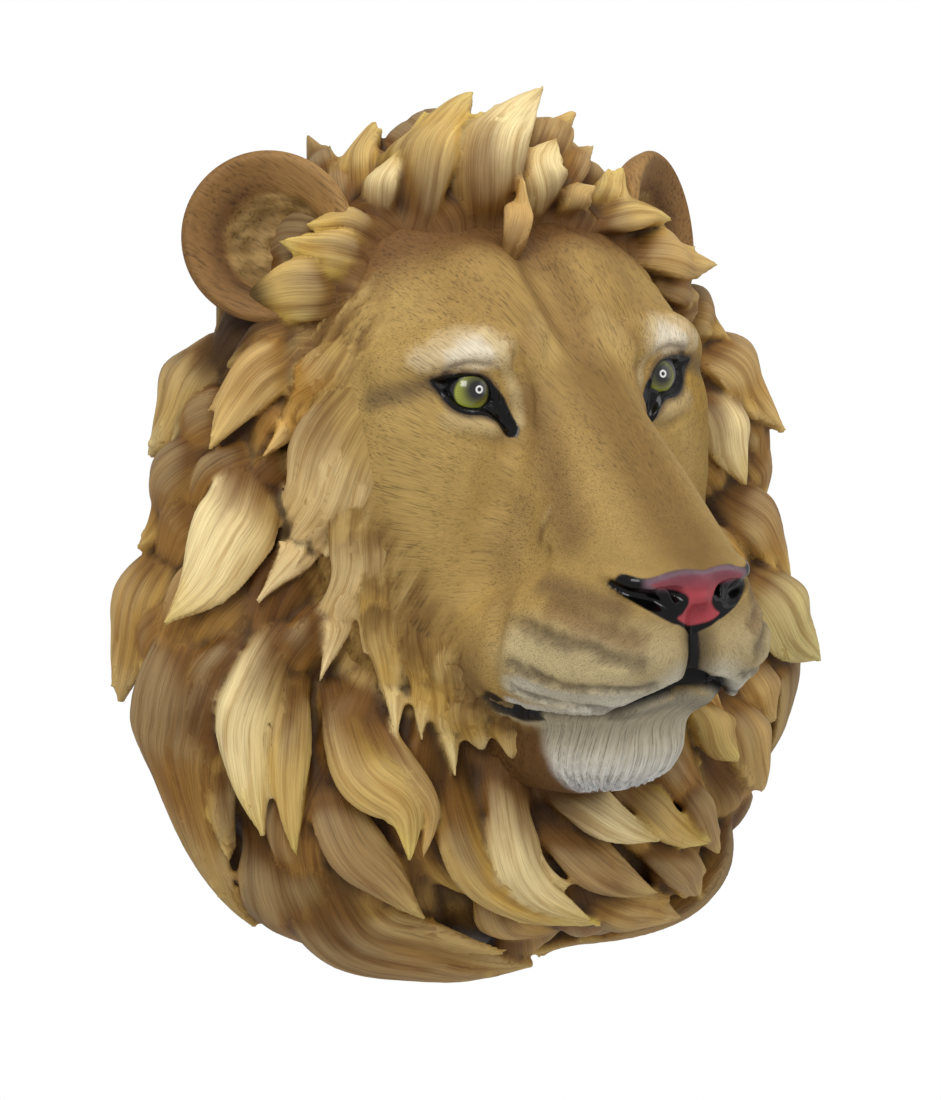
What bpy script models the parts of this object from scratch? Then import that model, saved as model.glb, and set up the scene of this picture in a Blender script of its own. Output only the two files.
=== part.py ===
"""Lion head wall sculpture: a cast resin head with a flat back that hangs on a wall.

The wall is the plane y = 0, the lion looks along -Y, +Z is up and +X is the lion's left.
The head is worked as a sculptor would: a block through level sections for the skull and the muzzle,
pressed and raised strokes for the face, a core for the mane, ears, and then the locks one by one.
"""
import math
import random

import bmesh
import bpy
import numpy as np
from mathutils import Matrix, Vector

# The height of the whole head. The carving is drawn on a head 410 units tall, so UNIT is about 1 mm.
HEAD_HEIGHT = 0.410
UNIT = HEAD_HEIGHT / 410

# The eyes are balls let into sockets.
EYE_RADIUS = 0.0125
EYE_CLEARANCE = 0.0003
EYE_SPACING = 0.097
EYE_FORWARD = 0.1325
EYE_HEIGHT = 0.0760

# The head is cocked a little: its left side stands higher.
FACE_TILT = math.radians(2.3)
TILT_CENTRE = (0.0, 0.030)

# How fine the clay is while it is worked, and how many triangles the finished casting keeps.
FACE_CLAY = 0.0028
HEAD_CLAY = 0.0020
CASTING_TRIANGLES = 8200


def clear_scene():
    for thing in list(bpy.data.objects):
        bpy.data.objects.remove(thing, do_unlink=True)


def material(name, colour, roughness):
    paint = bpy.data.materials.new(name)
    paint.use_nodes = True
    shader = paint.node_tree.nodes["Principled BSDF"]
    shader.inputs["Base Color"].default_value = (*colour, 1)
    shader.inputs["Roughness"].default_value = roughness
    return paint


# The mane's envelope. A place on it is a clock angle in degrees (0 up, 90 towards +X, as seen from
# the front) and a ring, 0 where the mane meets the face and 1 at the wall. Each list goes round the
# clock in steps of 30 degrees, in units: the face's edge, how far it stands from the wall, the mane's
# edge at the wall, and how far the mane swells between them.
MANE_CENTRE = 20
FACE_EDGE = [125, 122, 102, 90, 98, 108, 115, 108, 98, 90, 102, 122]
FACE_DEPTH = [98, 88, 74, 72, 92, 122, 132, 122, 92, 72, 74, 88]
WALL_EDGE = [165, 160, 140, 146, 170, 198, 210, 192, 160, 123, 127, 148]
SWELL = [4, 4, 18, 30, 42, 32, 10, 20, 22, 18, 6, 4]
# A ring below 0 lies on the face, which runs inwards and forwards from the mane.
FACE_INWARD = 80
FACE_FORWARD = 110


def round_clock(values, clock):
    """Read a list that goes round the clock, smoothly between its steps."""
    values = np.asarray(values, float)
    place = (np.asarray(clock, float) % 360) / 360 * len(values)
    step = np.floor(place).astype(int)
    part = place - step
    part = part * part * (3 - 2 * part)
    return values[step % len(values)] * (1 - part) + values[(step + 1) % len(values)] * part


def shell(clock, ring):
    """The point of the mane's envelope at a clock angle and a ring, in units."""
    clock, ring = np.broadcast_arrays(np.asarray(clock, float), np.asarray(ring, float))
    turn = np.clip(ring, 0, 1) * math.pi / 2
    inward = np.minimum(ring, 0)
    edge, wall = round_clock(FACE_EDGE, clock), round_clock(WALL_EDGE, clock)
    radius = edge + (wall - edge) * np.sin(turn) + round_clock(SWELL, clock) * np.sin(2 * turn)
    radius = radius + FACE_INWARD * inward
    depth = round_clock(FACE_DEPTH, clock) * np.cos(turn) ** 0.8 - FACE_FORWARD * inward
    angle = np.radians(clock)
    return np.stack([radius * np.sin(angle), -depth, MANE_CENTRE + radius * np.cos(angle)], -1)


def unit_vector(v):
    return v / np.maximum(np.linalg.norm(v, axis=-1, keepdims=True), 1e-9)


# Level sections of the head, from under the chin to the crown. Each is two rounded boxes run
# together, the broad head and the narrower bridge and muzzle in front of it, as height, then half
# width and depth of the head, then half width and depth of the muzzle.
SECTIONS = (
    (-107, 30, 72, 15, 146),
    (-100, 46, 93, 28, 184),
    (-91, 59, 107, 36, 199),
    (-80, 70, 117, 40, 206),
    (-68, 80, 124, 42, 205),
    (-58, 88, 131, 59, 218),
    (-46, 92, 135, 67, 229),
    (-32, 95, 139, 69, 232),
    (-18, 97, 143, 65, 232),
    (-6, 99, 146, 55, 235),
    (4, 100, 148, 47, 236),
    (14, 101, 150, 46, 225),
    (28, 102, 152, 45, 210),
    (44, 102, 153, 40, 196),
    (60, 101, 153, 34, 181),
    (74, 100, 152, 30, 167),
    (90, 97, 147, 32, 151),
    (110, 89, 132, 38, 133),
    (128, 80, 114, 42, 113),
    (144, 68, 92, 36, 90),
    (156, 52, 70, 26, 60),
)
SECTION_AXIS = 40
HEAD_SQUARE = 3.0
MUZZLE_SQUARE = 3.4
SECTION_BLEND = 7
SECTION_POINTS = 90
SECTION_STEP = 3.0


def rounded_box(angle, half_width, depth, square):
    """How far the edge of a rounded box lies from its middle, looking forwards at angle 0."""
    wide = np.abs(np.sin(angle)) / half_width
    deep = np.abs(np.cos(angle)) / depth
    return (wide ** square + deep ** square) ** (-1 / square)


def head_radius(angle, height):
    """How far the skin lies from the axis of the head, looking forwards at angle 0."""
    table = np.array(SECTIONS, float)
    head_w, head_d, muzzle_w, muzzle_d = (np.interp(height, table[:, 0], table[:, k]) for k in range(1, 5))
    head = rounded_box(angle, head_w, np.maximum(head_d - SECTION_AXIS, 12), HEAD_SQUARE)
    muzzle = rounded_box(angle, muzzle_w, np.maximum(muzzle_d - SECTION_AXIS, 12), MUZZLE_SQUARE)
    muzzle = np.where(np.cos(angle) > 0, muzzle, 0)
    return np.logaddexp(head / SECTION_BLEND, muzzle / SECTION_BLEND) * SECTION_BLEND


def add_face_block(bm):
    angle = np.arange(SECTION_POINTS) * 2 * math.pi / SECTION_POINTS
    rows = []
    for z in np.arange(SECTIONS[0][0], SECTIONS[-1][0] + 0.1, SECTION_STEP):
        out = head_radius(angle, z)
        rows.append(np.stack([out * np.sin(angle), -SECTION_AXIS - out * np.cos(angle), 0 * angle + z], -1))
    add_sheet(bm, rows, closed=True)


def tilt(points, way=1):
    """Cock points about a line along Y through the middle of the face, or back where way is -1."""
    x0, z0 = TILT_CENTRE[0] / UNIT, TILT_CENTRE[1] / UNIT
    x, z = points[..., 0] - x0, points[..., 2] - z0
    lean = FACE_TILT * way
    turned = points.copy()
    turned[..., 0] = x0 + x * math.cos(lean) - z * math.sin(lean)
    turned[..., 2] = z0 + z * math.cos(lean) + x * math.sin(lean)
    return turned


def mane_point(clock, ring):
    """The envelope, pushed out to the skin of the face wherever it would lie under it."""
    place = tilt(shell(clock, ring), -1)
    x, y, z = place[..., 0], place[..., 1] + SECTION_AXIS, place[..., 2]
    skin = head_radius(np.arctan2(x, -y), np.clip(z, SECTIONS[0][0], SECTIONS[-1][0]))
    part = np.clip((z + 100) / 30, 0, 1) * np.clip((156 - z) / 20, 0, 1)
    push = 1 + (np.maximum(skin / np.maximum(np.hypot(x, y), 1), 1) - 1) * part
    return tilt(np.stack([x * push, y * push - SECTION_AXIS, z], -1))


def mane_normal(clock, ring):
    ring = np.clip(ring, -0.6, 0.96)
    along = mane_point(clock + 3.0, ring) - mane_point(clock - 3.0, ring)
    across = mane_point(clock, ring + 0.03) - mane_point(clock, ring - 0.03)
    return unit_vector(np.cross(along, across))


def add_sheet(bm, rows, closed):
    """A skin through rows of points; closed rows run round, and both ends are capped by a fan."""
    grid = [[bm.verts.new(point) for point in row] for row in rows]
    count = len(grid[0])
    last = count if closed else count - 1
    for low, high in zip(grid, grid[1:]):
        for i in range(last):
            j = (i + 1) % count
            bm.faces.new((low[i], low[j], high[j], high[i]))
    for row, turned in ((grid[0], True), (grid[-1], False)):
        middle = bm.verts.new(sum((v.co for v in row), Vector()) / count)
        for i in range(count):
            j = (i + 1) % count
            bm.faces.new((row[j], row[i], middle) if turned else (row[i], row[j], middle))


# The core stands this far inside the mane's envelope, and runs past the wall until it is cut there.
CORE_INSET = 4
PAST_WALL = 12
CORE_STEPS = 8
CLOCK_STEPS = 72


def add_core(bm):
    clock = np.arange(0, 360, 360 / CLOCK_STEPS)
    rows = []
    for ring in np.linspace(0, 1, CORE_STEPS + 1):
        inset = shell(clock, ring) - CORE_INSET * mane_normal(clock, ring)
        rows.append(inset)
    behind = rows[-1].copy()
    behind[:, 1] = PAST_WALL
    rows.append(behind)
    add_sheet(bm, rows, closed=True)


def mesh_object(name, bm):
    bmesh.ops.recalc_face_normals(bm, faces=bm.faces)
    mesh = bpy.data.meshes.new(name)
    bm.to_mesh(mesh)
    bm.free()
    thing = bpy.data.objects.new(name, mesh)
    bpy.context.collection.objects.link(thing)
    return thing


def settle(thing):
    """Replace an object's mesh by what its modifiers make of it."""
    depsgraph = bpy.context.evaluated_depsgraph_get()
    mesh = bpy.data.meshes.new_from_object(thing.evaluated_get(depsgraph))
    thing.modifiers.clear()
    old = thing.data
    thing.data = mesh
    bpy.data.meshes.remove(old)


def fuse(thing, grain, smoothing):
    """Work the clay into one skin, and smooth it."""
    remesh = thing.modifiers.new("fuse", "REMESH")
    remesh.mode = "VOXEL"
    remesh.voxel_size = grain / UNIT
    if smoothing:
        smooth = thing.modifiers.new("smooth", "SMOOTH")
        smooth.factor = 0.5
        smooth.iterations = smoothing
    settle(thing)


def points_of(mesh):
    flat = np.empty(len(mesh.vertices) * 3)
    mesh.vertices.foreach_get("co", flat)
    return flat.reshape(-1, 3)


def normals_of(mesh):
    flat = np.empty(len(mesh.vertices) * 3)
    mesh.vertex_normals.foreach_get("vector", flat)
    return flat.reshape(-1, 3)


def set_points(mesh, points):
    mesh.vertices.foreach_set("co", points.ravel())
    mesh.update()


def nearest_on_path(points, path):
    """For each point, how far it is from the path, and how far along the path, from 0 to 1."""
    best = np.full(len(points), 1e9)
    along = np.zeros(len(points))
    pieces = len(path) - 1
    for i in range(pieces):
        start, run = path[i], path[i + 1] - path[i]
        part = np.clip((points - start) @ run / max(run @ run, 1e-9), 0, 1)
        gap = np.linalg.norm(points - start - part[:, None] * run, axis=1)
        closer = gap < best
        best[closer] = gap[closer]
        along[closer] = ((i + part) / pieces)[closer]
    return best, along


def stroke(mesh, path, reach, rise, crisp=2.0):
    """Raise the skin along a path (press it where rise is negative), and along its mirror image.

    reach and rise are one number, or one for each point of the path.
    """
    points, push = points_of(mesh), normals_of(mesh)
    moved = points.copy()
    path = np.asarray(path, float).reshape(-1, 3)
    stops = np.linspace(0, 1, len(path))
    twins = (1, -1) if np.abs(path[:, 0]).max() > 0 else (1,)
    for twin in twins:
        route = path * (twin, 1, 1)
        if len(route) == 1:
            gap, along = np.linalg.norm(points - route[0], axis=1), np.zeros(len(points))
        else:
            gap, along = nearest_on_path(points, route)
        wide = np.interp(along, stops, np.broadcast_to(reach, len(path)).astype(float))
        high = np.interp(along, stops, np.broadcast_to(rise, len(path)).astype(float))
        weight = np.clip(1 - (gap / wide) ** 2, 0, 1) ** crisp
        moved += push * (weight * high)[:, None]
    set_points(mesh, moved)


# The line between the lips, from its middle to the corner of the mouth.
LIP = [(0, -222, -50), (12, -222, -53), (25, -213, -60), (33, -204, -62), (43, -180, -63), (51, -160, -60),
       (60, -160, -54)]


def carve_face(mesh):
    """The forms of the face, largest first."""
    # The two lobes of the forehead, and the furrow between them.
    stroke(mesh, [(30, -132, 104), (28, -112, 126)], 26, 6)
    stroke(mesh, [(0, -150, 88), (0, -136, 108), (0, -112, 134)], [14, 16, 14], [-3, -6, -3])
    # Eye sockets.
    stroke(mesh, [(36, -146, 74), (56, -132, 76)], 20, -3)
    stroke(mesh, [(33, -152, 66), (36, -152, 54)], 12, -4)
    # The brow's edge over the eye, and the pale ridge that rises from the tear duct to the brow.
    brow = [(32, -148, 92), (46, -144, 97), (62, -134, 95), (76, -118, 86)]
    stroke(mesh, brow, [14, 16, 17, 15], [3, 6, 8, 7])
    stroke(mesh, [(24, -156, 66), (23, -154, 80), (26, -146, 96)], 9, 3)
    # The hollow below each eye, the cheekbone behind it, and the fold behind the whisker pads.
    stroke(mesh, [(42, -150, 48), (46, -154, 28)], [14, 18], [-2, -3])
    stroke(mesh, [(72, -116, 60), (74, -110, 36), (68, -112, 8)], 24, 6)
    stroke(mesh, [(46, -176, 6), (56, -148, -10), (62, -132, -34)], [12, 13, 12], [-3, -4, -3])
    # The whisker pads' round sides and fronts.
    stroke(mesh, [(48, -206, -32), (54, -184, -36), (56, -164, -38)], 22, 3)
    stroke(mesh, [(24, -236, -38)], 20, 3)
    stroke(mesh, [(14, -236, -36), (34, -226, -38), (50, -204, -40)], [16, 18, 16], [3, 3, 2])
    # The groove from the nose to the lip.
    stroke(mesh, [(0, -234, -18), (0, -236, -34), (0, -232, -58)], [8, 9, 11], [-8, -11, -12])
    # The nose leather: the bar along its top, and the nostrils with their slits.
    leather = [(0, -238, 0), (12, -237, 2), (22, -235, -1), (31, -227, 0), (36, -216, 2)]
    stroke(mesh, leather, 8, [2, 3, 3, 4, 3])
    nostril = [(35, -217, -2), (28, -226, -7), (21, -233, -10), (13, -237, -15)]
    stroke(mesh, nostril, 6.5, [-4, -6, -8, -6])
    # The mouth: a sharp line under the pads, open at its corner.
    stroke(mesh, LIP, [9, 9, 9, 9, 9, 9, 8], [-9, -9, -9, -9, -9, -9, -7], crisp=1.5)


EAR_CENTRE = (105, -58, 138)
EAR_RADIUS = 38
EAR_WALL = 9
EAR_BOWL = 17
EAR_FACING = (0.55, -0.82, 0.14)
EAR_STEPS = 28


def add_ear(bm, side):
    """A cupped ear: a round rim, a hollow front and a domed back that sinks into the head."""
    facing = unit_vector(np.array(EAR_FACING) * (side, 1, 1))
    up = unit_vector(np.array((0.25 * side, 0, 1.0)))
    right = unit_vector(np.cross(up, facing))
    up = np.cross(facing, right)
    rim = EAR_WALL / 2
    # Each row is a circle of the profile, as shares of the radius and depths towards the front.
    profile = [(0.25, -EAR_BOWL - EAR_WALL), (0.62, -EAR_BOWL), (0.90, -EAR_WALL), (1.0, 0)]
    profile += [(1.0 - 0.3 * rim / EAR_RADIUS, rim * 0.9), (1.0 - 1.6 * rim / EAR_RADIUS, rim)]
    profile += [(1.0 - 2.6 * rim / EAR_RADIUS, -rim * 0.4), (0.55, -EAR_BOWL * 0.75), (0.2, -EAR_BOWL)]
    angle = np.arange(EAR_STEPS) * 2 * math.pi / EAR_STEPS
    tall = 1 + 0.05 * np.cos(angle)
    rows = []
    for share, depth in profile:
        radius = EAR_RADIUS * share * tall
        row = (np.array(EAR_CENTRE) * (side, 1, 1) + np.outer(radius * np.sin(angle), right)
               + np.outer(radius * np.cos(angle), up) + depth * facing)
        rows.append(row)
    add_sheet(bm, rows, closed=True)


# A lock is a leaf that is swept along the mane. Its root is buried as deep as its crown is high there, and
# its width is widest before its middle. Its top is domed, and its underside is sunk into the mane.
LOCK_STATIONS = 12
LOCK_ACROSS = 5
ROOT_WIDTH = 0.62
ROOT_COVER = 2.5
CROWN = 0.5
ROOT_CROWN = 0.4
SMOOTH_TURNS = 3


def smooth_step(low, high, values):
    part = np.clip((values - low) / (high - low), 0, 1)
    return part * part * (3 - 2 * part)


def smooth_route(route, count):
    """Places along a smooth curve through a lock's control points."""
    route = np.asarray(route, float)
    turns = (np.diff(route[:, 0]) + 180) % 360 - 180
    route[1:, 0] = route[0, 0] + np.cumsum(turns)
    padded = np.concatenate([2 * route[:1] - route[1:2], route, 2 * route[-1:] - route[-2:-1]])
    place = np.linspace(0, len(route) - 1, count)
    step = np.minimum(place.astype(int), len(route) - 2)
    t = (place - step)[:, None]
    a, b, c, d = (padded[step + k] for k in range(4))
    bend = (2 * a - 5 * b + 4 * c - d) * t ** 2 + (3 * b - a - 3 * c + d) * t ** 3
    return 0.5 * (2 * b + (c - a) * t + bend)


def lock_spine(route, width, lift, curl):
    """The points of a lock's spine, and the way out of the mane at each."""
    path = smooth_route(route, LOCK_STATIONS)
    t = np.linspace(0, 1, LOCK_STATIONS)
    out = mane_normal(path[:, 0], path[:, 1])
    for _ in range(SMOOTH_TURNS):
        out[1:-1] = unit_vector(out[:-2] + out[1:-1] * 2 + out[2:])
    buried = ROOT_CROWN * CROWN * ROOT_WIDTH * width / 2 + ROOT_COVER
    rise = lift * smooth_step(0, 0.5, t) - buried * (1 - smooth_step(0, 0.32, t))
    rise = rise + curl * np.clip((t - 0.6) / 0.4, 0, 1) ** 1.5
    return mane_point(path[:, 0], path[:, 1]) + out * rise[:, None], out


def leaf_width(t):
    """A lock's width along it, as a share: widest before its middle, then down to a sharp point."""
    body = ROOT_WIDTH + (1 - ROOT_WIDTH) * smooth_step(0, 0.4, t)
    taper = np.clip((1 - t) / 0.58, 0, 1)
    return np.maximum(body * taper * (1.6 - 0.6 * taper), 0.10)


def add_leaf(bm, spine, out, width):
    """Sweep one leaf along a spine."""
    t = np.linspace(0, 1, len(spine))
    heading = unit_vector(np.gradient(spine, axis=0))
    aside = unit_vector(np.cross(out, heading))
    out = unit_vector(np.cross(heading, aside))
    half = width / 2 * leaf_width(t)
    crown = CROWN * half * (ROOT_CROWN + (1 - ROOT_CROWN) * smooth_step(0, 0.45, t)) + 1.0
    under = np.interp(t, [0, 0.5, 1], [12, 12, 3])
    rows = []
    for i in range(len(t)):
        top = []
        for a in np.linspace(0, math.pi, LOCK_ACROSS):
            top.append(spine[i] + aside[i] * half[i] * math.cos(a) + out[i] * crown[i] * math.sin(a))
        low = [spine[i] - aside[i] * half[i] * 0.6 - out[i] * under[i],
               spine[i] + aside[i] * half[i] * 0.6 - out[i] * under[i]]
        rows.append(top + low)
    add_sheet(bm, rows, closed=True)


STRAND_WIDTH = 0.42
STRAND_REACH = 0.78


def add_lock(bm, route, width, lift, curl, strands=2):
    """A lock, with slimmer strands that follow its sides and leave it before its tip."""
    spine, out = lock_spine(route, width, lift, curl)
    add_leaf(bm, spine, out, width)
    heading = unit_vector(np.gradient(spine, axis=0))
    aside = unit_vector(np.cross(out, heading))
    t = np.linspace(0, 1, LOCK_STATIONS)
    for side in (-1, 1)[:strands]:
        offset = width * side * (0.20 + 0.10 * t + 0.16 * t ** 4)
        beside = spine + aside * offset[:, None] + out * (0.05 * width)
        stops = np.linspace(0, STRAND_REACH * (LOCK_STATIONS - 1), LOCK_STATIONS)
        line = np.stack([np.interp(stops, np.arange(LOCK_STATIONS), beside[:, k]) for k in range(3)], -1)
        way = np.stack([np.interp(stops, np.arange(LOCK_STATIONS), out[:, k]) for k in range(3)], -1)
        add_leaf(bm, line, way, width * STRAND_WIDTH)


# Under the big locks lie tiers of smaller ones, all round the clock: the ring that a tier starts on, its lock
# count, the width and how far a lock runs outwards. FLOW says how far a lock turns round the clock on its
# way, in steps of 30 degrees: down both cheeks, and across under the chin to the lion's left.
FLOW = [4, 6, 14, 14, 8, -6, -20, -24, -20, -22, -22, -12]
TIERS = ((0.00, 22, 34, 0.34), (0.22, 20, 42, 0.42), (0.46, 20, 48, 0.42), (0.70, 22, 48, 0.28))
TIER_LIFT = -5


def add_tiers(bm):
    dice = random.Random(11)
    for tier, (ring, count, width, run) in enumerate(TIERS):
        for i in range(count):
            clock = (i + 0.5 * (tier % 2)) * 360 / count + dice.uniform(-3, 3)
            turn = float(round_clock(FLOW, clock)) * dice.uniform(0.8, 1.1)
            reach = run * dice.uniform(0.85, 1.15)
            route = [(clock, ring), (clock + turn * 0.35, min(ring + reach * 0.55, 0.94)),
                     (clock + turn, min(ring + reach, 0.97))]
            add_lock(bm, route, width * dice.uniform(0.85, 1.15), TIER_LIFT + dice.uniform(-1, 2),
                     dice.uniform(1, 4), strands=1)


# The locks that stand out: the places (clock, ring) that the spine runs through, width, lift and curl.
CHEEK_FRINGE = (
    (((252, -0.24), (231, -0.10), (218, 0.09)), 26, 4, 5),
    (((239, -0.26), (223, -0.12), (214, 0.06)), 20, 4, 3),
    (((234, -0.30), (217, -0.14), (204, 0.09)), 28, 4, 5),
    (((226, -0.32), (211, -0.20), (199, -0.03)), 20, 3, 3),
    (((215, -0.28), (205, -0.20), (196, -0.11)), 15, 3, 2),
    (((209, -0.26), (201, -0.22), (193, -0.14)), 14, 3, 2),
    (((262, -0.26), (244, -0.16), (232, -0.04)), 18, 4, 3),
    (((280, -0.24), (254, -0.16), (234, 0.16)), 28, 5, 5),
)
RIGHT_LOCKS = (
    (((333, 0.23), (328, 0.41), (325, 0.55)), 18, 8, 3),
    (((328, 0.13), (323, 0.36), (321, 0.58)), 21, 10, 5),
    (((322, 0.09), (315, 0.42), (310, 0.66)), 29, 9, 5),
    (((313, 0.25), (304, 0.48), (297, 0.61)), 23, 6, 4),
    (((314, 0.19), (296, 0.41), (281, 0.49)), 27, 9, 5),
    (((319, -0.06), (304, -0.05), (282, 0.27)), 28, 6, 5),
    (((312, -0.20), (291, -0.18), (268, -0.08), (252, 0.26)), 38, 5, 7),
    (((286, 0.26), (269, 0.34), (257, 0.42), (251, 0.54)), 38, 12, 8),
    (((306, 0.88), (292, 0.89), (279, 0.95)), 40, 6, 3),
    (((284, 0.52), (272, 0.77), (260, 0.87)), 38, 5, 2),
    (((267, 0.82), (252, 0.84), (240, 0.93)), 44, 6, 2),
    (((256, 0.43), (240, 0.59), (228, 0.71), (209, 0.81)), 54, 7, 7),
    (((250, 0.27), (240, 0.44), (229, 0.60), (220, 0.67)), 30, 6, 2),
    (((248, 0.12), (239, 0.34), (229, 0.44), (221, 0.50)), 30, 12, 4),
    (((243, 0.14), (230, 0.29), (223, 0.39), (217, 0.47)), 18, 10, 3),
    (((232, 0.11), (220, 0.20), (212, 0.20), (207, 0.29)), 28, 13, 8),
    (((227, 0.07), (216, 0.13), (207, 0.18), (204, 0.28)), 16, 10, 5),
    (((225, 0.27), (215, 0.34), (206, 0.38), (197, 0.44)), 27, 8, 3),
    (((217, 0.49), (204, 0.60), (191, 0.60), (174, 0.67)), 52, 7, 4),
    (((221, 0.57), (213, 0.63), (199, 0.81), (189, 0.79)), 44, 5, 4),
    (((207, 0.03), (197, 0.22), (185, 0.33), (170, 0.43)), 27, 9, 4),
    (((194, -0.05), (190, 0.16), (184, 0.28), (173, 0.39)), 25, 11, 4),
)
LEFT_LOCKS = (
    (((184, 0.00), (173, 0.12), (161, 0.23)), 24, 11, 3),
    (((163, 0.08), (158, 0.20), (150, 0.33)), 22, 9, 3),
    (((149, 0.16), (149, 0.28), (148, 0.42)), 20, 7, 2),
    (((183, 0.12), (172, 0.26), (160, 0.39)), 26, 8, 3),
    (((160, 0.23), (154, 0.38), (151, 0.54)), 24, 7, 5),
    (((177, 0.33), (163, 0.44), (154, 0.57)), 27, 7, 8),
    (((20, 0.20), (27, 0.27), (37, 0.42)), 23, 10, 4),
    (((30, 0.15), (39, 0.26), (49, 0.46)), 27, 12, 11),
    (((38, 0.15), (45, 0.25), (52, 0.38)), 20, 8, 3),
    (((51, 0.38), (58, 0.48), (64, 0.49)), 28, 7, 7),
    (((60, 0.47), (71, 0.46), (83, 0.52)), 40, 11, 11),
    (((70, 0.42), (82, 0.52), (89, 0.50)), 34, 7, 3),
    (((67, 0.30), (79, 0.24), (90, 0.28)), 28, 11, 4),
    (((80, 0.38), (89, 0.50), (94, 0.49)), 28, 6, 2),
    (((89, 0.27), (99, 0.37), (107, 0.43)), 32, 8, 3),
    (((104, 0.26), (113, 0.32), (116, 0.51)), 40, 11, 9),
    (((119, 0.26), (125, 0.34), (127, 0.43)), 26, 7, 3),
    (((127, 0.23), (134, 0.32), (136, 0.49)), 32, 8, 3),
    (((134, 0.12), (140, 0.16), (140, 0.25)), 26, 9, 3),
)
FORELOCK = (
    (((353, -0.01), (354, 0.27), (1, 0.47), (10, 0.64)), 34, 17, 13),
    (((337, 0.25), (345, 0.44), (353, 0.58), (3, 0.77)), 40, 11, 9),
    (((334, 0.40), (339, 0.46), (344, 0.51)), 20, 12, 3),
    (((332, 0.53), (342, 0.74), (352, 0.91)), 26, 8, 3),
    (((331, 0.56), (336, 0.69), (343, 0.89)), 14, 8, 2),
    (((335, 0.78), (340, 0.90), (343, 0.96)), 20, 9, 12),
    (((2, 0.24), (11, 0.57), (16, 0.62)), 28, 13, 13),
    (((10, 0.22), (14, 0.43), (21, 0.58)), 20, 9, 7),
    (((7, 0.07), (3, 0.23), (8, 0.40)), 26, 13, 4),
    (((13, 0.10), (12, 0.18), (16, 0.25)), 15, 10, 3),
    (((2, 0.09), (0, 0.24), (2, 0.38)), 15, 11, 3),
    (((351, -0.16), (356, -0.07), (358, 0.20)), 14, 15, 4),
    (((23, 0.27), (23, 0.35), (27, 0.55)), 18, 9, 7),
)


def mirrored(lock):
    """The same lock on the other side of the head."""
    route, *rest = lock
    return tuple((360 - clock, ring) for clock, ring in route), *rest


# Behind the left locks, the outer right locks are repeated on the other side.
BACK_LOCKS = tuple(mirrored(lock) for lock in RIGHT_LOCKS[8:12] + RIGHT_LOCKS[19:20] + FORELOCK[3:4])


def add_named_locks(bm):
    for route, width, lift, curl in CHEEK_FRINGE + RIGHT_LOCKS + LEFT_LOCKS + FORELOCK + BACK_LOCKS:
        add_lock(bm, route, width, lift, curl)


def eye_place(side):
    """The middle of an eyeball, in units, on the cocked head."""
    point = np.array([[side * EYE_SPACING / 2, -EYE_FORWARD, EYE_HEIGHT]]) / UNIT
    return tilt(point)[0]


def make_face():
    bm = bmesh.new()
    add_face_block(bm)
    face = mesh_object("face", bm)
    fuse(face, FACE_CLAY, 12)
    carve_face(face.data)
    set_points(face.data, tilt(points_of(face.data)))
    return face


def join(things):
    for thing in things:
        thing.select_set(True)
    bpy.context.view_layer.objects.active = things[0]
    bpy.ops.object.join()
    bpy.ops.object.select_all(action="DESELECT")
    return things[0]


def cut_at_wall(thing):
    """Cut off what stands past the wall, and close the flat back."""
    bm = bmesh.new()
    bm.from_mesh(thing.data)
    cut = bmesh.ops.bisect_plane(bm, geom=bm.verts[:] + bm.edges[:] + bm.faces[:], dist=1e-7,
                                 plane_co=(0, 0, 0), plane_no=(0, 1, 0), clear_outer=True)
    rim = [e for e in cut["geom_cut"] if isinstance(e, bmesh.types.BMEdge)]
    bmesh.ops.contextual_create(bm, geom=rim)
    bmesh.ops.triangulate(bm, faces=bm.faces[:])
    bm.to_mesh(thing.data)
    bm.free()


def make_head():
    face = make_face()
    bm = bmesh.new()
    add_core(bm)
    for side in (1, -1):
        add_ear(bm, side)
    add_tiers(bm)
    add_named_locks(bm)
    head = join([face, mesh_object("mane", bm)])
    head.name = "head_casting"
    fuse(head, HEAD_CLAY, 1)
    thin = head.modifiers.new("thin", "DECIMATE")
    thin.ratio = CASTING_TRIANGLES / (2 * len(head.data.polygons))
    settle(head)
    head.data.transform(Matrix.Scale(UNIT, 4))
    cut_at_wall(head)
    return head


# The lids cover the eyeballs. The opening between them is drawn on the front view, as x and z: from the outer
# corner over the upper lid, down to the tear duct, and back along the lower lid.
LID_THICKNESS = 0.0021
OPENING = [(68, 82), (61, 83.5), (54, 83.8), (47, 82.3), (42.5, 77.5), (39.5, 70), (35.5, 59.5), (39, 59.8),
           (43, 63.8), (48, 66.8), (56, 68), (61, 71), (64.5, 77)]
BALL_SEGMENTS = 20


def ball_object(name, centre, radius):
    bm = bmesh.new()
    bmesh.ops.create_uvsphere(bm, u_segments=BALL_SEGMENTS, v_segments=BALL_SEGMENTS // 2, radius=radius,
                              matrix=Matrix.Translation(Vector(centre)))
    return mesh_object(name, bm)


def opening_cutter(side):
    """A prism through the lids, from well in front of the eye to just before the eyeball's middle."""
    rows = []
    for depth in (3.4 * EYE_RADIUS, 0.36 * EYE_RADIUS):
        y = -(EYE_FORWARD + depth) / UNIT
        row = np.array([(side * x, y, z) for x, z in OPENING], float)
        rows.append([Vector(point) for point in tilt(row) * UNIT])
    bm = bmesh.new()
    add_sheet(bm, rows, closed=True)
    return mesh_object("opening", bm)


def apply_boolean(thing, tool, operation):
    cut = thing.modifiers.new(tool.name, "BOOLEAN")
    cut.operation = operation
    cut.solver = "EXACT"
    cut.object = tool
    settle(thing)
    bpy.data.objects.remove(tool, do_unlink=True)


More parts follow.
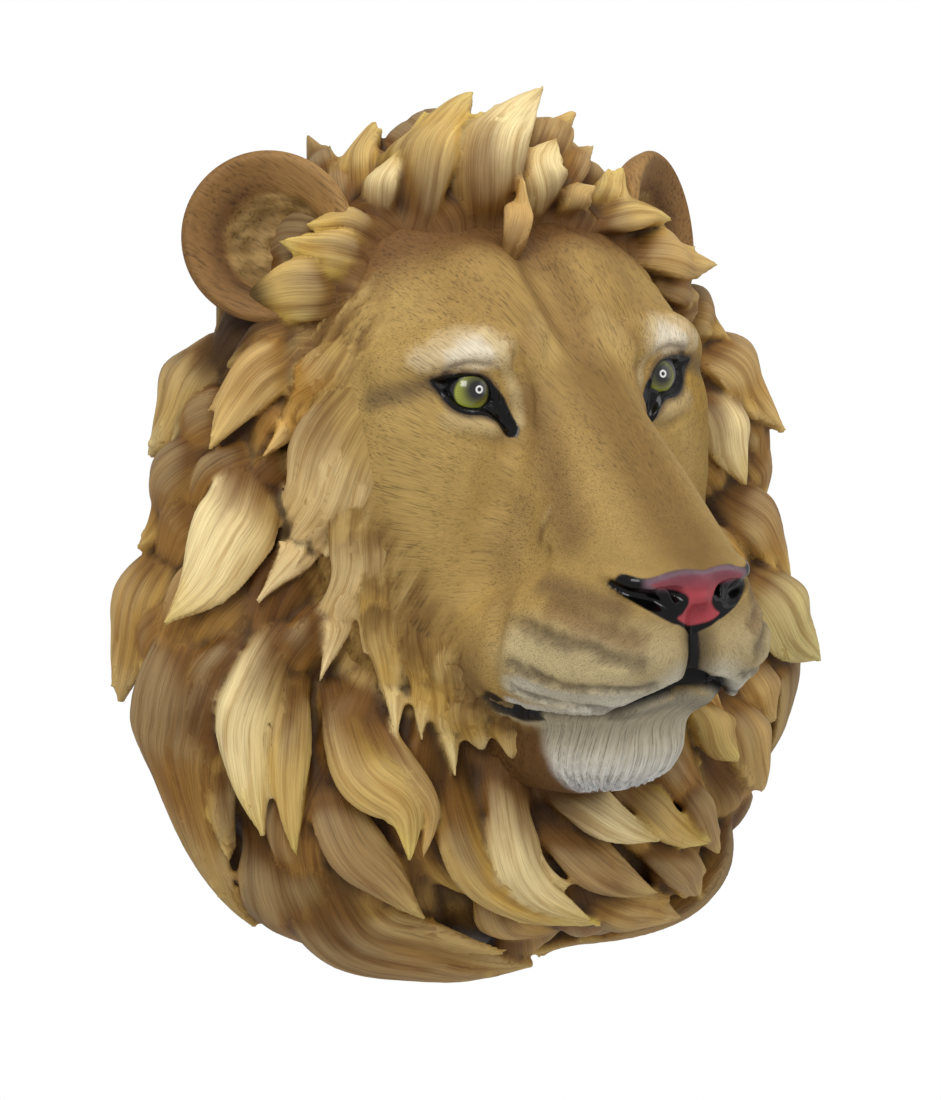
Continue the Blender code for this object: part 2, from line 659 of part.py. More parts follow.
def set_eye(head, side, name, glass):
    """Lids over the eyeball, the opening between them, the socket, and the eyeball in it."""
    centre = eye_place(side) * UNIT
    apply_boolean(head, ball_object("lids", centre, EYE_RADIUS + EYE_CLEARANCE + LID_THICKNESS), "UNION")
    apply_boolean(head, opening_cutter(side), "DIFFERENCE")
    apply_boolean(head, ball_object("socket", centre, EYE_RADIUS + EYE_CLEARANCE), "DIFFERENCE")
    eye = ball_object(name, centre, EYE_RADIUS)
    eye.data.shade_smooth()
    eye.data.materials.append(glass)
    return eye


def main():
    clear_scene()
    resin = material("painted_resin", (0.42, 0.25, 0.10), 0.55)
    glass = material("eye_glass", (0.35, 0.33, 0.03), 0.05)
    head = make_head()
    set_eye(head, -1, "right_eye", glass)
    set_eye(head, 1, "left_eye", glass)
    head.data.materials.clear()
    head.data.materials.append(resin)


if __name__ == "__main__":
    main()
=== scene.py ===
# %% [markdown]
# # A painted lion head for the wall
# The real object is a hollow resin casting of a lion's head, airbrushed and then brushed by hand. This
# lesson builds its looks round a finished construction model: the face, the ears and the chin in fine clay,
# the mane lock by lock, glossy eyes, and the paint. Everything is drawn in millimetres and shrunk to metres
# at the end of each step. The wall is the plane y = 0, the lion looks along -Y, and +X is the lion's left.

# %% Load the fixed model
import math
import random

import bpy
import numpy as np
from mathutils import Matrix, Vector
from mathutils.kdtree import KDTree


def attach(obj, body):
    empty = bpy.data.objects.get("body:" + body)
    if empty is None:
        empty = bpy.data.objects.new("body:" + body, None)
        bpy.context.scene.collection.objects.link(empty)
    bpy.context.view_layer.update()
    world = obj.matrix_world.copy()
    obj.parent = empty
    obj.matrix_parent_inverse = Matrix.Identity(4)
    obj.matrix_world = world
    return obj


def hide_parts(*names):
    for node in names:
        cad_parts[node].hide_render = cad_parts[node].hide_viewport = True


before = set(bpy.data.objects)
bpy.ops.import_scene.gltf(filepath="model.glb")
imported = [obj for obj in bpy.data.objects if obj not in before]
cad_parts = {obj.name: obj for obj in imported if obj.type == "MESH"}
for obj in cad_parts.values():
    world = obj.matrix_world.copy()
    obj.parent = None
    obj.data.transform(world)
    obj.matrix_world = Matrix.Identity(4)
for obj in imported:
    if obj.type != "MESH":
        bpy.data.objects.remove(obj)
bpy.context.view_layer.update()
MM = 0.001
bpy.ops.object.select_all(action="DESELECT")
print("nodes:", sorted(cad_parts))

# %% [markdown]
# The photograph looks at the head from 33 degrees to the lion's right and about 6 degrees above it. The
# camera's place is worked out from those angles, from the scale of the photograph at the head's middle, and
# from where the head sits in the frame.

# %% Camera
VIEW_TURN = math.radians(33.0)
VIEW_RISE = math.radians(5.74)
DISTANCE = 1.75
PHOTO_SIZE = (941, 1100)
PIXELS_PER_METRE = 2230.0
WALL_ORIGIN_PIXEL = (399.0, 530.0)
HEAD_MIDDLE = Vector((0, -0.10, 0))
SENSOR = 36.0

back = Vector((-math.sin(VIEW_TURN) * math.cos(VIEW_RISE), -math.cos(VIEW_TURN) * math.cos(VIEW_RISE),
               math.sin(VIEW_RISE)))
right = Vector((math.cos(VIEW_TURN), -math.sin(VIEW_TURN), 0))
up = back.cross(right)
off_right = PHOTO_SIZE[0] / 2 - WALL_ORIGIN_PIXEL[0] - PIXELS_PER_METRE * HEAD_MIDDLE.dot(right)
off_down = PHOTO_SIZE[1] / 2 - WALL_ORIGIN_PIXEL[1] + PIXELS_PER_METRE * HEAD_MIDDLE.dot(up)
aim = HEAD_MIDDLE + right * off_right / PIXELS_PER_METRE - up * off_down / PIXELS_PER_METRE

bpy.ops.object.camera_add(location=aim + back * DISTANCE)
camera = bpy.context.object
camera.rotation_euler = back.to_track_quat("Z", "Y").to_euler()
camera.data.sensor_fit = "VERTICAL"
camera.data.sensor_height = SENSOR
camera.data.lens = SENSOR * DISTANCE * PIXELS_PER_METRE / PHOTO_SIZE[1]
bpy.context.scene.camera = camera
print("lens:", round(camera.data.lens, 1), "mm")

# %% [markdown]
# Three soft studio lights: a broad key from the upper left of the picture, a weaker fill from the right,
# and one from above that rims the mane. The background is white to the camera and a softer white to the
# head.

# %% Studio
SOFT_WHITE = 0.5


def soft_light(name, place, power, size):
    bpy.ops.object.light_add(type="AREA", location=place)
    light = bpy.context.object
    light.name = name
    light.data.energy = power
    light.data.size = size
    light.rotation_euler = (Vector(place) - HEAD_MIDDLE).to_track_quat("Z", "Y").to_euler()
    return light


soft_light("key", (-1.3, -1.5, 1.3), 20, 0.9)
soft_light("fill", (1.5, -1.3, 0.5), 4, 1.4)
soft_light("top", (0.1, -0.5, 1.8), 9, 0.9)

world = bpy.data.worlds.new("white studio")
bpy.context.scene.world = world
world.use_nodes = True
sky, links = world.node_tree.nodes, world.node_tree.links
seen_white, soft_white = sky["Background"], sky.new("ShaderNodeBackground")
seen_white.inputs["Color"].default_value = (1, 1, 1, 1)
soft_white.inputs["Color"].default_value = (1, 1, 1, 1)
soft_white.inputs["Strength"].default_value = SOFT_WHITE
ray, choice = sky.new("ShaderNodeLightPath"), sky.new("ShaderNodeMixShader")
links.new(ray.outputs["Is Camera Ray"], choice.inputs["Fac"])
links.new(soft_white.outputs["Background"], choice.inputs[1])
links.new(seen_white.outputs["Background"], choice.inputs[2])
links.new(choice.outputs["Shader"], sky["World Output"].inputs["Surface"])
bpy.context.scene.view_settings.view_transform = "Standard"

# %% [markdown]
# Colours are written as they are seen, 0 to 255, and turned to the linear values that light needs. Smooth
# random values in numpy give hair its unevenness: noise on a stretched grid makes strands.

# %% Colours and noise
PRIMES = (73856093, 19349663, 83492791)
SEED_STEP = 265443576
SCRAMBLE = 1274126177
LOW_32_BITS = 0xFFFFFFFF
LOW_16_BITS = 0xFFFF


def paint(red, green, blue):
    seen = np.array([red, green, blue]) / 255
    return np.where(seen <= 0.04045, seen / 12.92, ((seen + 0.055) / 1.055) ** 2.4)


def blend(first, second, share):
    share = np.asarray(share)[..., None]
    return first * (1 - share) + second * share


def ramp(values, stops):
    """Colours along a row of (value, colour) stops."""
    places = [stop for stop, _ in stops]
    colours = np.array([colour for _, colour in stops])
    return np.stack([np.interp(values, places, colours[:, k]) for k in range(3)], -1)


def soft_noise(points, seed=0):
    """Smooth random values from -1 to 1, one for each row of points."""
    points = np.asarray(points, float)
    cell = np.floor(points).astype(np.int64)
    part = points - cell
    part = part * part * (3 - 2 * part)
    total = np.zeros(len(points))
    for corner in np.ndindex(2, 2, 2):
        k = cell + np.array(corner)
        mixed = k[:, 0] * PRIMES[0] ^ k[:, 1] * PRIMES[1] ^ k[:, 2] * PRIMES[2] ^ seed * SEED_STEP
        mixed = ((mixed ^ (mixed >> 13)) * SCRAMBLE) & LOW_32_BITS
        value = ((mixed ^ (mixed >> 16)) & LOW_16_BITS) / (LOW_16_BITS / 2) - 1
        weight = np.prod(np.where(corner, part, 1 - part), axis=1)
        total += weight * value
    return total


def unit_vector(v):
    return v / np.maximum(np.linalg.norm(v, axis=-1, keepdims=True), 1e-9)


def smooth_step(low, high, values):
    part = np.clip((values - low) / (high - low), 0, 1)
    return part * part * (3 - 2 * part)


# %% [markdown]
# Shader maths reads best as Python. A small class wraps a node socket, so that a * b or 1 - mask adds the
# Math nodes, and one method adds any other node.

# %% A shader pen


class Socket:
    def __init__(self, pen, socket):
        self.pen = pen
        self.socket = socket

    def __add__(self, other):
        return self.pen.maths("ADD", self, other)

    def __sub__(self, other):
        return self.pen.maths("SUBTRACT", self, other)

    def __mul__(self, other):
        return self.pen.maths("MULTIPLY", self, other)

    def __rsub__(self, other):
        return self.pen.maths("SUBTRACT", other, self)

    __radd__ = __add__
    __rmul__ = __mul__


class Pen:
    """Writes one material."""

    def __init__(self, name):
        self.material = bpy.data.materials.new(name)
        self.material.use_nodes = True
        self.nodes = self.material.node_tree.nodes
        self.links = self.material.node_tree.links
        self.shader = self.nodes["Principled BSDF"]

    def node(self, kind, settings=None, values=None, output=0):
        node = self.nodes.new(kind)
        for key, value in (settings or {}).items():
            setattr(node, key, value)
        for key, value in (values or {}).items():
            self.plug(node.inputs[key], value)
        return Socket(self, node.outputs[output])

    def plug(self, socket, value):
        if isinstance(value, Socket):
            self.links.new(value.socket, socket)
        else:
            socket.default_value = value

    def maths(self, operation, first, second):
        return self.node("ShaderNodeMath", {"operation": operation}, {0: first, 1: second})

    def vector(self, operation, values, output=0):
        return self.node("ShaderNodeVectorMath", {"operation": operation}, values, output)

    def noise(self, place, dimensions="3D", detail=2.0, roughness=0.55):
        """Noise whose grain is set by the scale of the place it reads."""
        values = {"Vector": place, "Scale": 1.0, "Detail": detail, "Roughness": roughness}
        return self.node("ShaderNodeTexNoise", {"noise_dimensions": dimensions}, values, output="Fac")

    def ramp(self, factor, stops):
        """A colour ramp: a row of (place, value) stops, in greys or colours."""
        node = self.nodes.new("ShaderNodeValToRGB")
        self.plug(node.inputs["Fac"], factor)
        while len(node.color_ramp.elements) < len(stops):
            node.color_ramp.elements.new(0.5)
        for element, (place, value) in zip(node.color_ramp.elements, stops):
            element.position = place
            element.color = (value, value, value, 1) if np.isscalar(value) else (*value, 1)
        return Socket(self, node.outputs["Color"])

    def mix(self, factor, first, second, mode="MIX"):
        return self.node("ShaderNodeMix", {"data_type": "RGBA", "blend_type": mode},
                         {"Factor": factor, 6: first, 7: second}, output=2)

    def attribute(self, name, output="Color"):
        return self.node("ShaderNodeAttribute", {"attribute_name": name}, output=output)

    def bump(self, height, strength, distance, under=None):
        values = {"Height": height, "Strength": strength, "Distance": distance}
        if under is not None:
            values["Normal"] = under
        return self.node("ShaderNodeBump", {}, values)

    def finish(self, **inputs):
        for key, value in inputs.items():
            self.plug(self.shader.inputs[key.replace("_", " ")], value)
        return self.material


# %% [markdown]
# Hair on the face is short and lies back from the nose. Its strokes are a noise that is stretched along
# lines running out from the nose: the direction from the nose is read at a fine scale, and the distance at
# a coarse one. Towards the mane the hair is long and swept down and back, and on the chin it is combed
# downwards: there two more noises take over, stretched along those flows. The colour comes from the mesh,
# where the airbrush work is painted as an attribute.

# %% Painted fur
NOSE_TIP = Vector((0, -0.235, -0.005))
CHEEK_FLOW = Vector((0.30, 0.45, -0.84))
ACROSS_FLOW = Vector((0.95, 0.0, 0.34))
SWEPT_FINE, SWEPT_RUN = 800, 50
BEARD_FINE, BEARD_RUN = 46, 45


def fur_material():
    pen = Pen("painted fur")
    place = pen.node("ShaderNodeTexCoord", output="Object")
    away = pen.vector("SUBTRACT", {0: place, 1: NOSE_TIP})
    heading = pen.vector("NORMALIZE", {0: away})
    distance = pen.vector("LENGTH", {0: away}, output="Value")
    far = pen.ramp(distance * 5, ((0.45, 0.0), (0.65, 1.0)))
    left_side = pen.vector("MULTIPLY", {0: pen.vector("ABSOLUTE", {0: place}), 1: (1, 0, 0)})
    mirrored = pen.vector("MULTIPLY_ADD", {0: place, 1: (0, 1, 1), 2: left_side})

    def strokes_at(around, along):
        out = pen.node("ShaderNodeCombineXYZ", {}, {"X": distance * along, "Y": distance * along * 0.4})
        return pen.noise(pen.vector("MULTIPLY_ADD", {0: heading, 1: (around, around, around), 2: out}))

    def between(factor, first, second):
        return pen.node("ShaderNodeMix", {"data_type": "FLOAT"}, {"Factor": factor, 2: first, 3: second})

    def measure(direction, scale):
        return pen.vector("DOT_PRODUCT", {0: mirrored, 1: direction}, output="Value") * scale

    swept = pen.node("ShaderNodeCombineXYZ", {}, {"X": measure(ACROSS_FLOW, SWEPT_FINE),
                                                  "Y": measure(CHEEK_FLOW, SWEPT_RUN),
                                                  "Z": measure(CHEEK_FLOW.cross(ACROSS_FLOW), SWEPT_FINE)})
    upright = pen.node("ShaderNodeSeparateXYZ", {}, {"Vector": place}, output="Z")
    combed = pen.node("ShaderNodeCombineXYZ", {}, {"X": pen.attribute("comb", "Fac") * BEARD_FINE,
                                                   "Y": upright * BEARD_RUN})
    strokes = between(far, strokes_at(140, 420), strokes_at(210, 300))
    strokes = between(pen.attribute("long_hair", "Fac"), strokes, pen.noise(swept))
    strokes = between(pen.attribute("chin", "Fac"), strokes, pen.noise(combed, "2D"))
    tufts = strokes_at(48, 90)
    shade = pen.ramp(strokes * 0.75 + tufts * 0.25, ((0.34, 0.55), (0.47, 0.96), (0.56, 1.04), (0.72, 1.16)))
    colour = pen.mix(1.0, pen.attribute("paint"), shade, "MULTIPLY")
    gloss, fur = pen.attribute("gloss", "Fac"), pen.attribute("fur", "Fac")
    normal = pen.bump((strokes * 0.9 + tufts * 0.35) * fur, 0.5, 0.0008)
    return pen.finish(Base_Color=colour, Roughness=0.58 - gloss * 0.42 + strokes * 0.08, Normal=normal,
                      Coat_Weight=gloss * 0.15, Coat_Roughness=0.06, Specular_IOR_Level=0.25)


# %% [markdown]
# A lock's strands run along it, so its finish reads the lock's own UV map: u across and v along, both in
# metres. The colour is darker in the grooves that the same noise bumps and lighter on its ridges: a dark wash
# and a dry brush, which are also painted shade and painted highlight.

# %% Painted locks


def lock_material():
    pen = Pen("painted locks")
    strands = pen.node("ShaderNodeUVMap", {"uv_map": "strands"})

    def grain(scale, detail, roughness):
        stretched = pen.node("ShaderNodeMapping", {}, {"Vector": strands, "Scale": scale})
        return pen.noise(stretched, "2D", detail, roughness)

    hairs = grain((1500, 34, 1), 3.0, 0.6)
    bands = grain((260, 16, 1), 2.0, 0.5)
    # Darker in the bumped grooves and lighter on the ridges: the wash, and with it painted shade and painted
    # highlight.
    groove_wash_and_shade = pen.ramp(hairs, ((0.30, 0.72), (0.47, 0.97), (0.55, 1.02), (0.72, 1.12)))
    streaks = pen.ramp(bands, ((0.30, (0.74, 0.66, 0.56)), (0.46, (0.96, 0.94, 0.91)),
                               (0.56, (1.02, 1.02, 1.01)), (0.70, (1.09, 1.10, 1.10))))
    colour = pen.mix(1.0, pen.mix(1.0, pen.attribute("paint"), groove_wash_and_shade, "MULTIPLY"), streaks, "MULTIPLY")
    normal = pen.bump(hairs * 0.6 + bands * 0.3, 0.35, 0.0010)
    return pen.finish(Base_Color=colour, Roughness=0.5 + hairs * 0.12, Normal=normal,
                      Specular_IOR_Level=0.22)


fur_paint = fur_material()
lock_paint = lock_material()

# %% [markdown]
# Two helpers turn numbers into a mesh: one skins closed rows of points, as a lofted tube, and one hands a
# finished object its paint.

# %% Mesh helpers


def new_object(name, points, faces):
    mesh = bpy.data.meshes.new(name)
    mesh.from_pydata(np.asarray(points).tolist(), [], faces)
    mesh.update()
    thing = bpy.data.objects.new(name, mesh)
    bpy.context.collection.objects.link(thing)
    return thing


def tube_faces(rows, count, start=0):
    """Quads between closed rows of count points, with a fan over both ends; the fans' points come last."""
    faces = []
    for row in range(rows - 1):
        low = start + row * count
        for i in range(count):
            j = (i + 1) % count
            faces.append((low + i, low + j, low + count + j, low + count + i))
    first, last = start + rows * count, start + rows * count + 1
    end = start + (rows - 1) * count
    for i in range(count):
        j = (i + 1) % count
        faces.append((start + j, start + i, first))
        faces.append((end + i, end + j, last))
    return faces


def with_ends(rows):
    """Closed rows of points as one list, with the middle of the first and the last row added."""
    flat = rows.reshape(-1, rows.shape[-1])
    return np.concatenate([flat, rows[0].mean(0)[None], rows[-1].mean(0)[None]])


def points_of(mesh):
    flat = np.empty(len(mesh.vertices) * 3)
    mesh.vertices.foreach_get("co", flat)
    return flat.reshape(-1, 3)


def normals_of(mesh):
    flat = np.empty(len(mesh.vertices) * 3)
    mesh.vertex_normals.foreach_get("vector", flat)
    return flat.reshape(-1, 3)


def set_points(mesh, points):
    mesh.vertices.foreach_set("co", points.ravel())
    mesh.update()


def give_colour(mesh, name, colours):
    layer = mesh.color_attributes.new(name, "FLOAT_COLOR", "POINT")
    data = np.ones((len(mesh.vertices), 4))
    data[:, :3] = colours
    layer.data.foreach_set("color", data.ravel())


def give_number(mesh, name, values):
    layer = mesh.attributes.new(name, "FLOAT", "POINT")
    layer.data.foreach_set("value", np.broadcast_to(values, len(mesh.vertices)).astype(np.float32))


def outward(thing):
    """Turn the faces of a closed object outwards."""
    bpy.ops.object.select_all(action="DESELECT")
    thing.select_set(True)
    bpy.context.view_layer.objects.active = thing
    bpy.ops.object.mode_set(mode="EDIT")
    bpy.ops.mesh.select_all(action="SELECT")
    bpy.ops.mesh.normals_make_consistent(inside=False)
    bpy.ops.object.mode_set(mode="OBJECT")
    thing.select_set(False)


# %% [markdown]
# The face is carved from one block. The block starts as a ball, and each of its vertices is moved out to
# the level section that it stands at: a broad rounded box for the head, run together with a narrower one
# for the bridge and the muzzle. The sections are those of the construction model: height, then half width
# and depth of the head, then half width and depth of the muzzle. A voxel remesh then gives the even skin
# that carving needs, and smoothing takes out the steps.

# %% Face block
SECTIONS = (
    (-107, 30, 72, 15, 146),
    (-100, 46, 93, 28, 184),
    (-91, 59, 107, 36, 199),
    (-80, 70, 117, 40, 206),
    (-68, 80, 124, 42, 205),
    (-58, 88, 131, 59, 218),
    (-46, 92, 135, 67, 229),
    (-32, 95, 139, 69, 232),
    (-18, 97, 143, 65, 232),
    (-6, 99, 146, 55, 235),
    (4, 100, 148, 47, 236),
    (14, 101, 150, 46, 225),
    (28, 102, 152, 45, 210),
    (44, 102, 153, 40, 196),
    (60, 101, 153, 34, 181),
    (74, 100, 152, 30, 167),
    (90, 97, 147, 32, 151),
    (110, 89, 132, 38, 133),
    (128, 80, 114, 42, 113),
    (144, 68, 92, 36, 90),
    (156, 52, 70, 26, 60),
)
SECTION_AXIS = 40
HEAD_SQUARE = 3.0
MUZZLE_SQUARE = 3.4
SECTION_BLEND = 7
FACE_GRAIN = 1.9
FACE_BACK = -46


def rounded_box(angle, half_width, depth, square):
    """How far the edge of a rounded box lies from its middle, looking forwards at angle 0."""
    wide = np.abs(np.sin(angle)) / half_width
    deep = np.abs(np.cos(angle)) / depth
    return (wide ** square + deep ** square) ** (-1 / square)


def ball(segments, rings):
    """A new unit ball as the selected object, with its vertices as an array."""
    bpy.ops.object.select_all(action="DESELECT")
    bpy.ops.mesh.primitive_uv_sphere_add(segments=segments, ring_count=rings, radius=1)
    thing = bpy.context.object
    return thing, points_of(thing.data)


def use(kind, **settings):
    """Add a modifier to the active object, set it, and apply it."""
    modifier = bpy.context.object.modifiers.new(kind.title(), kind)
    for key, value in settings.items():
        setattr(modifier, key, value)
    bpy.ops.object.modifier_apply(modifier=modifier.name)


def head_radius(angle, height):
    """How far the skin lies from the axis of the head, looking forwards at angle 0."""
    table = np.array(SECTIONS, float)
    head_w, head_d, muzzle_w, muzzle_d = (np.interp(height, table[:, 0], table[:, k]) for k in range(1, 5))
    head = rounded_box(angle, head_w, np.maximum(head_d - SECTION_AXIS, 12), HEAD_SQUARE)
    muzzle = rounded_box(angle, muzzle_w, np.maximum(muzzle_d - SECTION_AXIS, 12), MUZZLE_SQUARE)
    muzzle = np.where(np.cos(angle) > 0, muzzle, 0)
    return np.logaddexp(head / SECTION_BLEND, muzzle / SECTION_BLEND) * SECTION_BLEND


face, unit = ball(segments=120, rings=96)
face.name = "face"
share = np.arccos(np.clip(-unit[:, 2], -1, 1)) / math.pi
height = SECTIONS[0][0] + (SECTIONS[-1][0] - SECTIONS[0][0]) * share
angle = np.arctan2(unit[:, 0], -unit[:, 1])
radius = head_radius(angle, height) * np.clip(np.sin(share * math.pi) * 20, 0, 1)
set_points(face.data, np.stack([radius * np.sin(angle), -SECTION_AXIS - radius * np.cos(angle), height], -1))
use("REMESH", mode="VOXEL", voxel_size=FACE_GRAIN)
use("SMOOTH", factor=0.5, iterations=28)
print("face block:", len(face.data.polygons), "faces")

# %% [markdown]
# The part of the block that the mane hides is cut off and closed, so that the clay is spent where it shows.

# %% Cut the block's back
bpy.ops.object.mode_set(mode="EDIT")
bpy.ops.mesh.select_all(action="SELECT")
bpy.ops.mesh.bisect(plane_co=(0, FACE_BACK, 0), plane_no=(0, 1, 0), clear_outer=True, use_fill=True)
bpy.ops.mesh.select_all(action="SELECT")
bpy.ops.mesh.normals_make_consistent(inside=False)
bpy.ops.object.mode_set(mode="OBJECT")
print("front only:", len(face.data.polygons), "faces")

# %% [markdown]
# Carving is done by strokes. A stroke follows a path through a few points and raises the skin under it, or
# presses it where the rise is negative; its mirror image is made with it.

# %% Strokes


def nearest_on_path(points, path):
    """For each point, how far it is from the path, and how far along the path, from 0 to 1."""
    best = np.full(len(points), 1e9)
    along = np.zeros(len(points))
    pieces = len(path) - 1
    for i in range(pieces):
        start, run = path[i], path[i + 1] - path[i]
        part = np.clip((points - start) @ run / max(run @ run, 1e-9), 0, 1)
        gap = np.linalg.norm(points - start - part[:, None] * run, axis=1)
        closer = gap < best
        best[closer] = gap[closer]
        along[closer] = ((i + part) / pieces)[closer]
    return best, along


def rounded_path(path, steps=6):
    """The path as a smooth curve through its points."""
    path = np.asarray(path, float).reshape(-1, 3)
    if len(path) < 3:
        return path
    padded = np.concatenate([2 * path[:1] - path[1:2], path, 2 * path[-1:] - path[-2:-1]])
    curve = []
    for a, b, c, d in zip(padded, padded[1:], padded[2:], padded[3:]):
        for t in np.arange(steps) / steps:
            curve.append(0.5 * (2 * b + (c - a) * t + (2 * a - 5 * b + 4 * c - d) * t ** 2
                                + (3 * b - a - 3 * c + d) * t ** 3))
    return np.array(curve + [path[-1]])


def stroke_weight(points, path, reach, crisp=2.0, twins=True):
    """How strongly a stroke works on each point, 0 to 1, and how far along it that point is."""
    path = np.asarray(path, float).reshape(-1, 3)
    stops = np.linspace(0, 1, len(path))
    sides = (1, -1) if twins and np.abs(path[:, 0]).max() > 0 else (1,)
    weight, place = np.zeros(len(points)), np.zeros(len(points))
    for side in sides:
        route = rounded_path(path * (side, 1, 1))
        margin = np.max(reach)
        close = np.all((points > route.min(0) - margin) & (points < route.max(0) + margin), axis=1)
        inside = points[close]
        if len(route) == 1:
            gap, along = np.linalg.norm(inside - route[0], axis=1), np.zeros(len(inside))
        else:
            gap, along = nearest_on_path(inside, route)
        wide = np.interp(along, stops, np.broadcast_to(reach, len(path)).astype(float))
        here = np.clip(1 - (gap / wide) ** 2, 0, 1) ** crisp
        stronger = here > weight[close]
        place[close] = np.where(stronger, along, place[close])
        weight[close] = np.maximum(weight[close], here)
    return weight, place


def stroke(mesh, path, reach, rise, crisp=2.0, twins=True):
    """Raise the skin along a path, or press it where rise is negative."""
    points = points_of(mesh)
    weight, along = stroke_weight(points, path, reach, crisp, twins)
    count = len(np.asarray(path, float).reshape(-1, 3))
    high = np.interp(along, np.linspace(0, 1, count), np.broadcast_to(rise, count).astype(float))
    set_points(mesh, points + normals_of(mesh) * (weight * high)[:, None])


# %% [markdown]
# The large forms come first, as in the construction model: the lobes of the forehead with the furrow
# between them, the sockets and the brows, the cheekbones, the whisker pads, the nose, the mouth and the
# chin.

# %% Large forms
clay = face.data
stroke(clay, [(30, -132, 104), (28, -112, 126)], 26, 6)
stroke(clay, [(0, -150, 88), (0, -136, 108), (0, -112, 134)], [14, 16, 14], [-3, -6, -3])
stroke(clay, [(36, -146, 74), (56, -132, 76)], 20, -3)
stroke(clay, [(33, -152, 66), (36, -152, 54)], 12, -4)
stroke(clay, [(32, -148, 92), (46, -144, 97), (62, -134, 95), (76, -118, 86)], [14, 17, 18, 16],
       [3, 5.5, 7.5, 6.5])
stroke(clay, [(24, -156, 66), (23, -154, 80), (26, -146, 96)], 9, 3)
stroke(clay, [(42, -150, 48), (46, -154, 28)], [14, 18], [-2, -3])
stroke(clay, [(72, -116, 60), (74, -110, 36), (68, -112, 8)], 24, 6)
stroke(clay, [(46, -176, 6), (56, -148, -10), (62, -132, -34)], [12, 13, 12], [-3, -4, -3])
stroke(clay, [(48, -206, -32), (54, -184, -36), (56, -164, -38)], 22, 3)
stroke(clay, [(24, -236, -38)], 20, 3)
stroke(clay, [(0, -234, -18), (0, -236, -34), (0, -232, -58)], [8, 9, 11], [-6, -9, -11])
print("carved large forms")

# %% [markdown]
# Where the small forms go, the clay has to be finer. The faces round the eyes, the nose and the mouth are
# chosen by their place and subdivided, the eyes and the nose twice, and smoothed again.

# %% Finer clay for the details
EYE_SPOT = np.array((51, -146, 74))
NOSE_SPOT = np.array((0, -234, -8))
LIP = [(0, -224, -46), (13, -226, -49), (24, -219, -56), (33, -206, -61), (44, -186, -61), (48, -172, -60),
       (51, -162, -57)]


def on_left(points):
    """The points with those of the lion's right side mirrored to its left."""
    mirrored = points.copy()
    mirrored[:, 0] = np.abs(mirrored[:, 0])
    return mirrored


def refine(thing, measure, limit, rounds=3):
    """Subdivide the faces whose middle measures below the limit, and relax them."""
    middles = np.empty(len(thing.data.polygons) * 3)
    thing.data.polygons.foreach_get("center", middles)
    middles = middles.reshape(-1, 3)
    chosen = measure(middles) < limit
    bpy.ops.object.mode_set(mode="EDIT")
    bpy.ops.mesh.select_mode(type="FACE")
    bpy.ops.mesh.select_all(action="DESELECT")
    bpy.ops.object.mode_set(mode="OBJECT")
    thing.data.polygons.foreach_set("select", chosen)
    bpy.ops.object.mode_set(mode="EDIT")
    bpy.ops.mesh.subdivide(number_cuts=1)
    bpy.ops.mesh.vertices_smooth(factor=0.5, repeat=rounds)
    bpy.ops.object.mode_set(mode="OBJECT")


def from_eye(points):
    return np.linalg.norm(on_left(points) - EYE_SPOT, axis=1)


def from_nose(points):
    return np.linalg.norm((points - NOSE_SPOT) * (0.62, 1, 1), axis=1)


def from_lip(points):
    return nearest_on_path(on_left(points), rounded_path(LIP))[0]


EYE_AREA = 27
FINER_WITHIN = ((from_eye, EYE_AREA), (from_eye, 22), (from_nose, 28), (from_nose, 23), (from_lip, 11))
for measure, limit in FINER_WITHIN:
    refine(face, measure, limit)
print("refined:", len(face.data.polygons), "faces")

# %% [markdown]
# An outline round the eye is drawn on the front view, as x and z: from the outer corner over the upper lid,
# down to the tear duct, and back along the lower lid. The skin outside it is lifted to stand over the
# eyeball as lids, and the skin inside it is sunk to a black well. The eyeball and its place are the
# construction model's.

# %% Eye openings
EYE_CENTRE = np.array((48.5, -132.5, 76.0))
EYE_RADIUS = 12.5
LID = 1.9
LID_SLACK = 1.5
WELL = 3.2
WELL_INSET = 1.5
FAR_OFF = 99.0
OPENING = [(68, 82), (61, 83.5), (54, 83.8), (47, 82.3), (42.5, 77.5), (39.5, 70), (35.5, 59.5), (39, 59.8),
           (43, 63.8), (48, 66.8), (56, 68), (61, 71), (64.5, 77)]


def outline_distance(across, height, outline):
    """Signed distance to a closed outline in the front view: below 0 inside it."""
    outline = np.array(outline, float)
    nearest = np.full(len(across), 1e9)
    inside = np.zeros(len(across), bool)
    for a, b in zip(outline, np.roll(outline, -1, axis=0)):
        run = b - a
        part = np.clip(((across - a[0]) * run[0] + (height - a[1]) * run[1]) / (run @ run), 0, 1)
        nearest = np.minimum(nearest, np.hypot(across - a[0] - part * run[0], height - a[1] - part * run[1]))
        crosses = (a[1] > height) != (b[1] > height)
        slope = run[0] / run[1] if run[1] else 0
        inside ^= crosses & (across < a[0] + (height - a[1]) * slope)
    return np.where(inside, -nearest, nearest)


def smooth_outline(outline):
    flat = np.array([(x, 0, z) for x, z in outline + outline[:1]], float)
    return rounded_path(flat, steps=4)[:-1, [0, 2]]


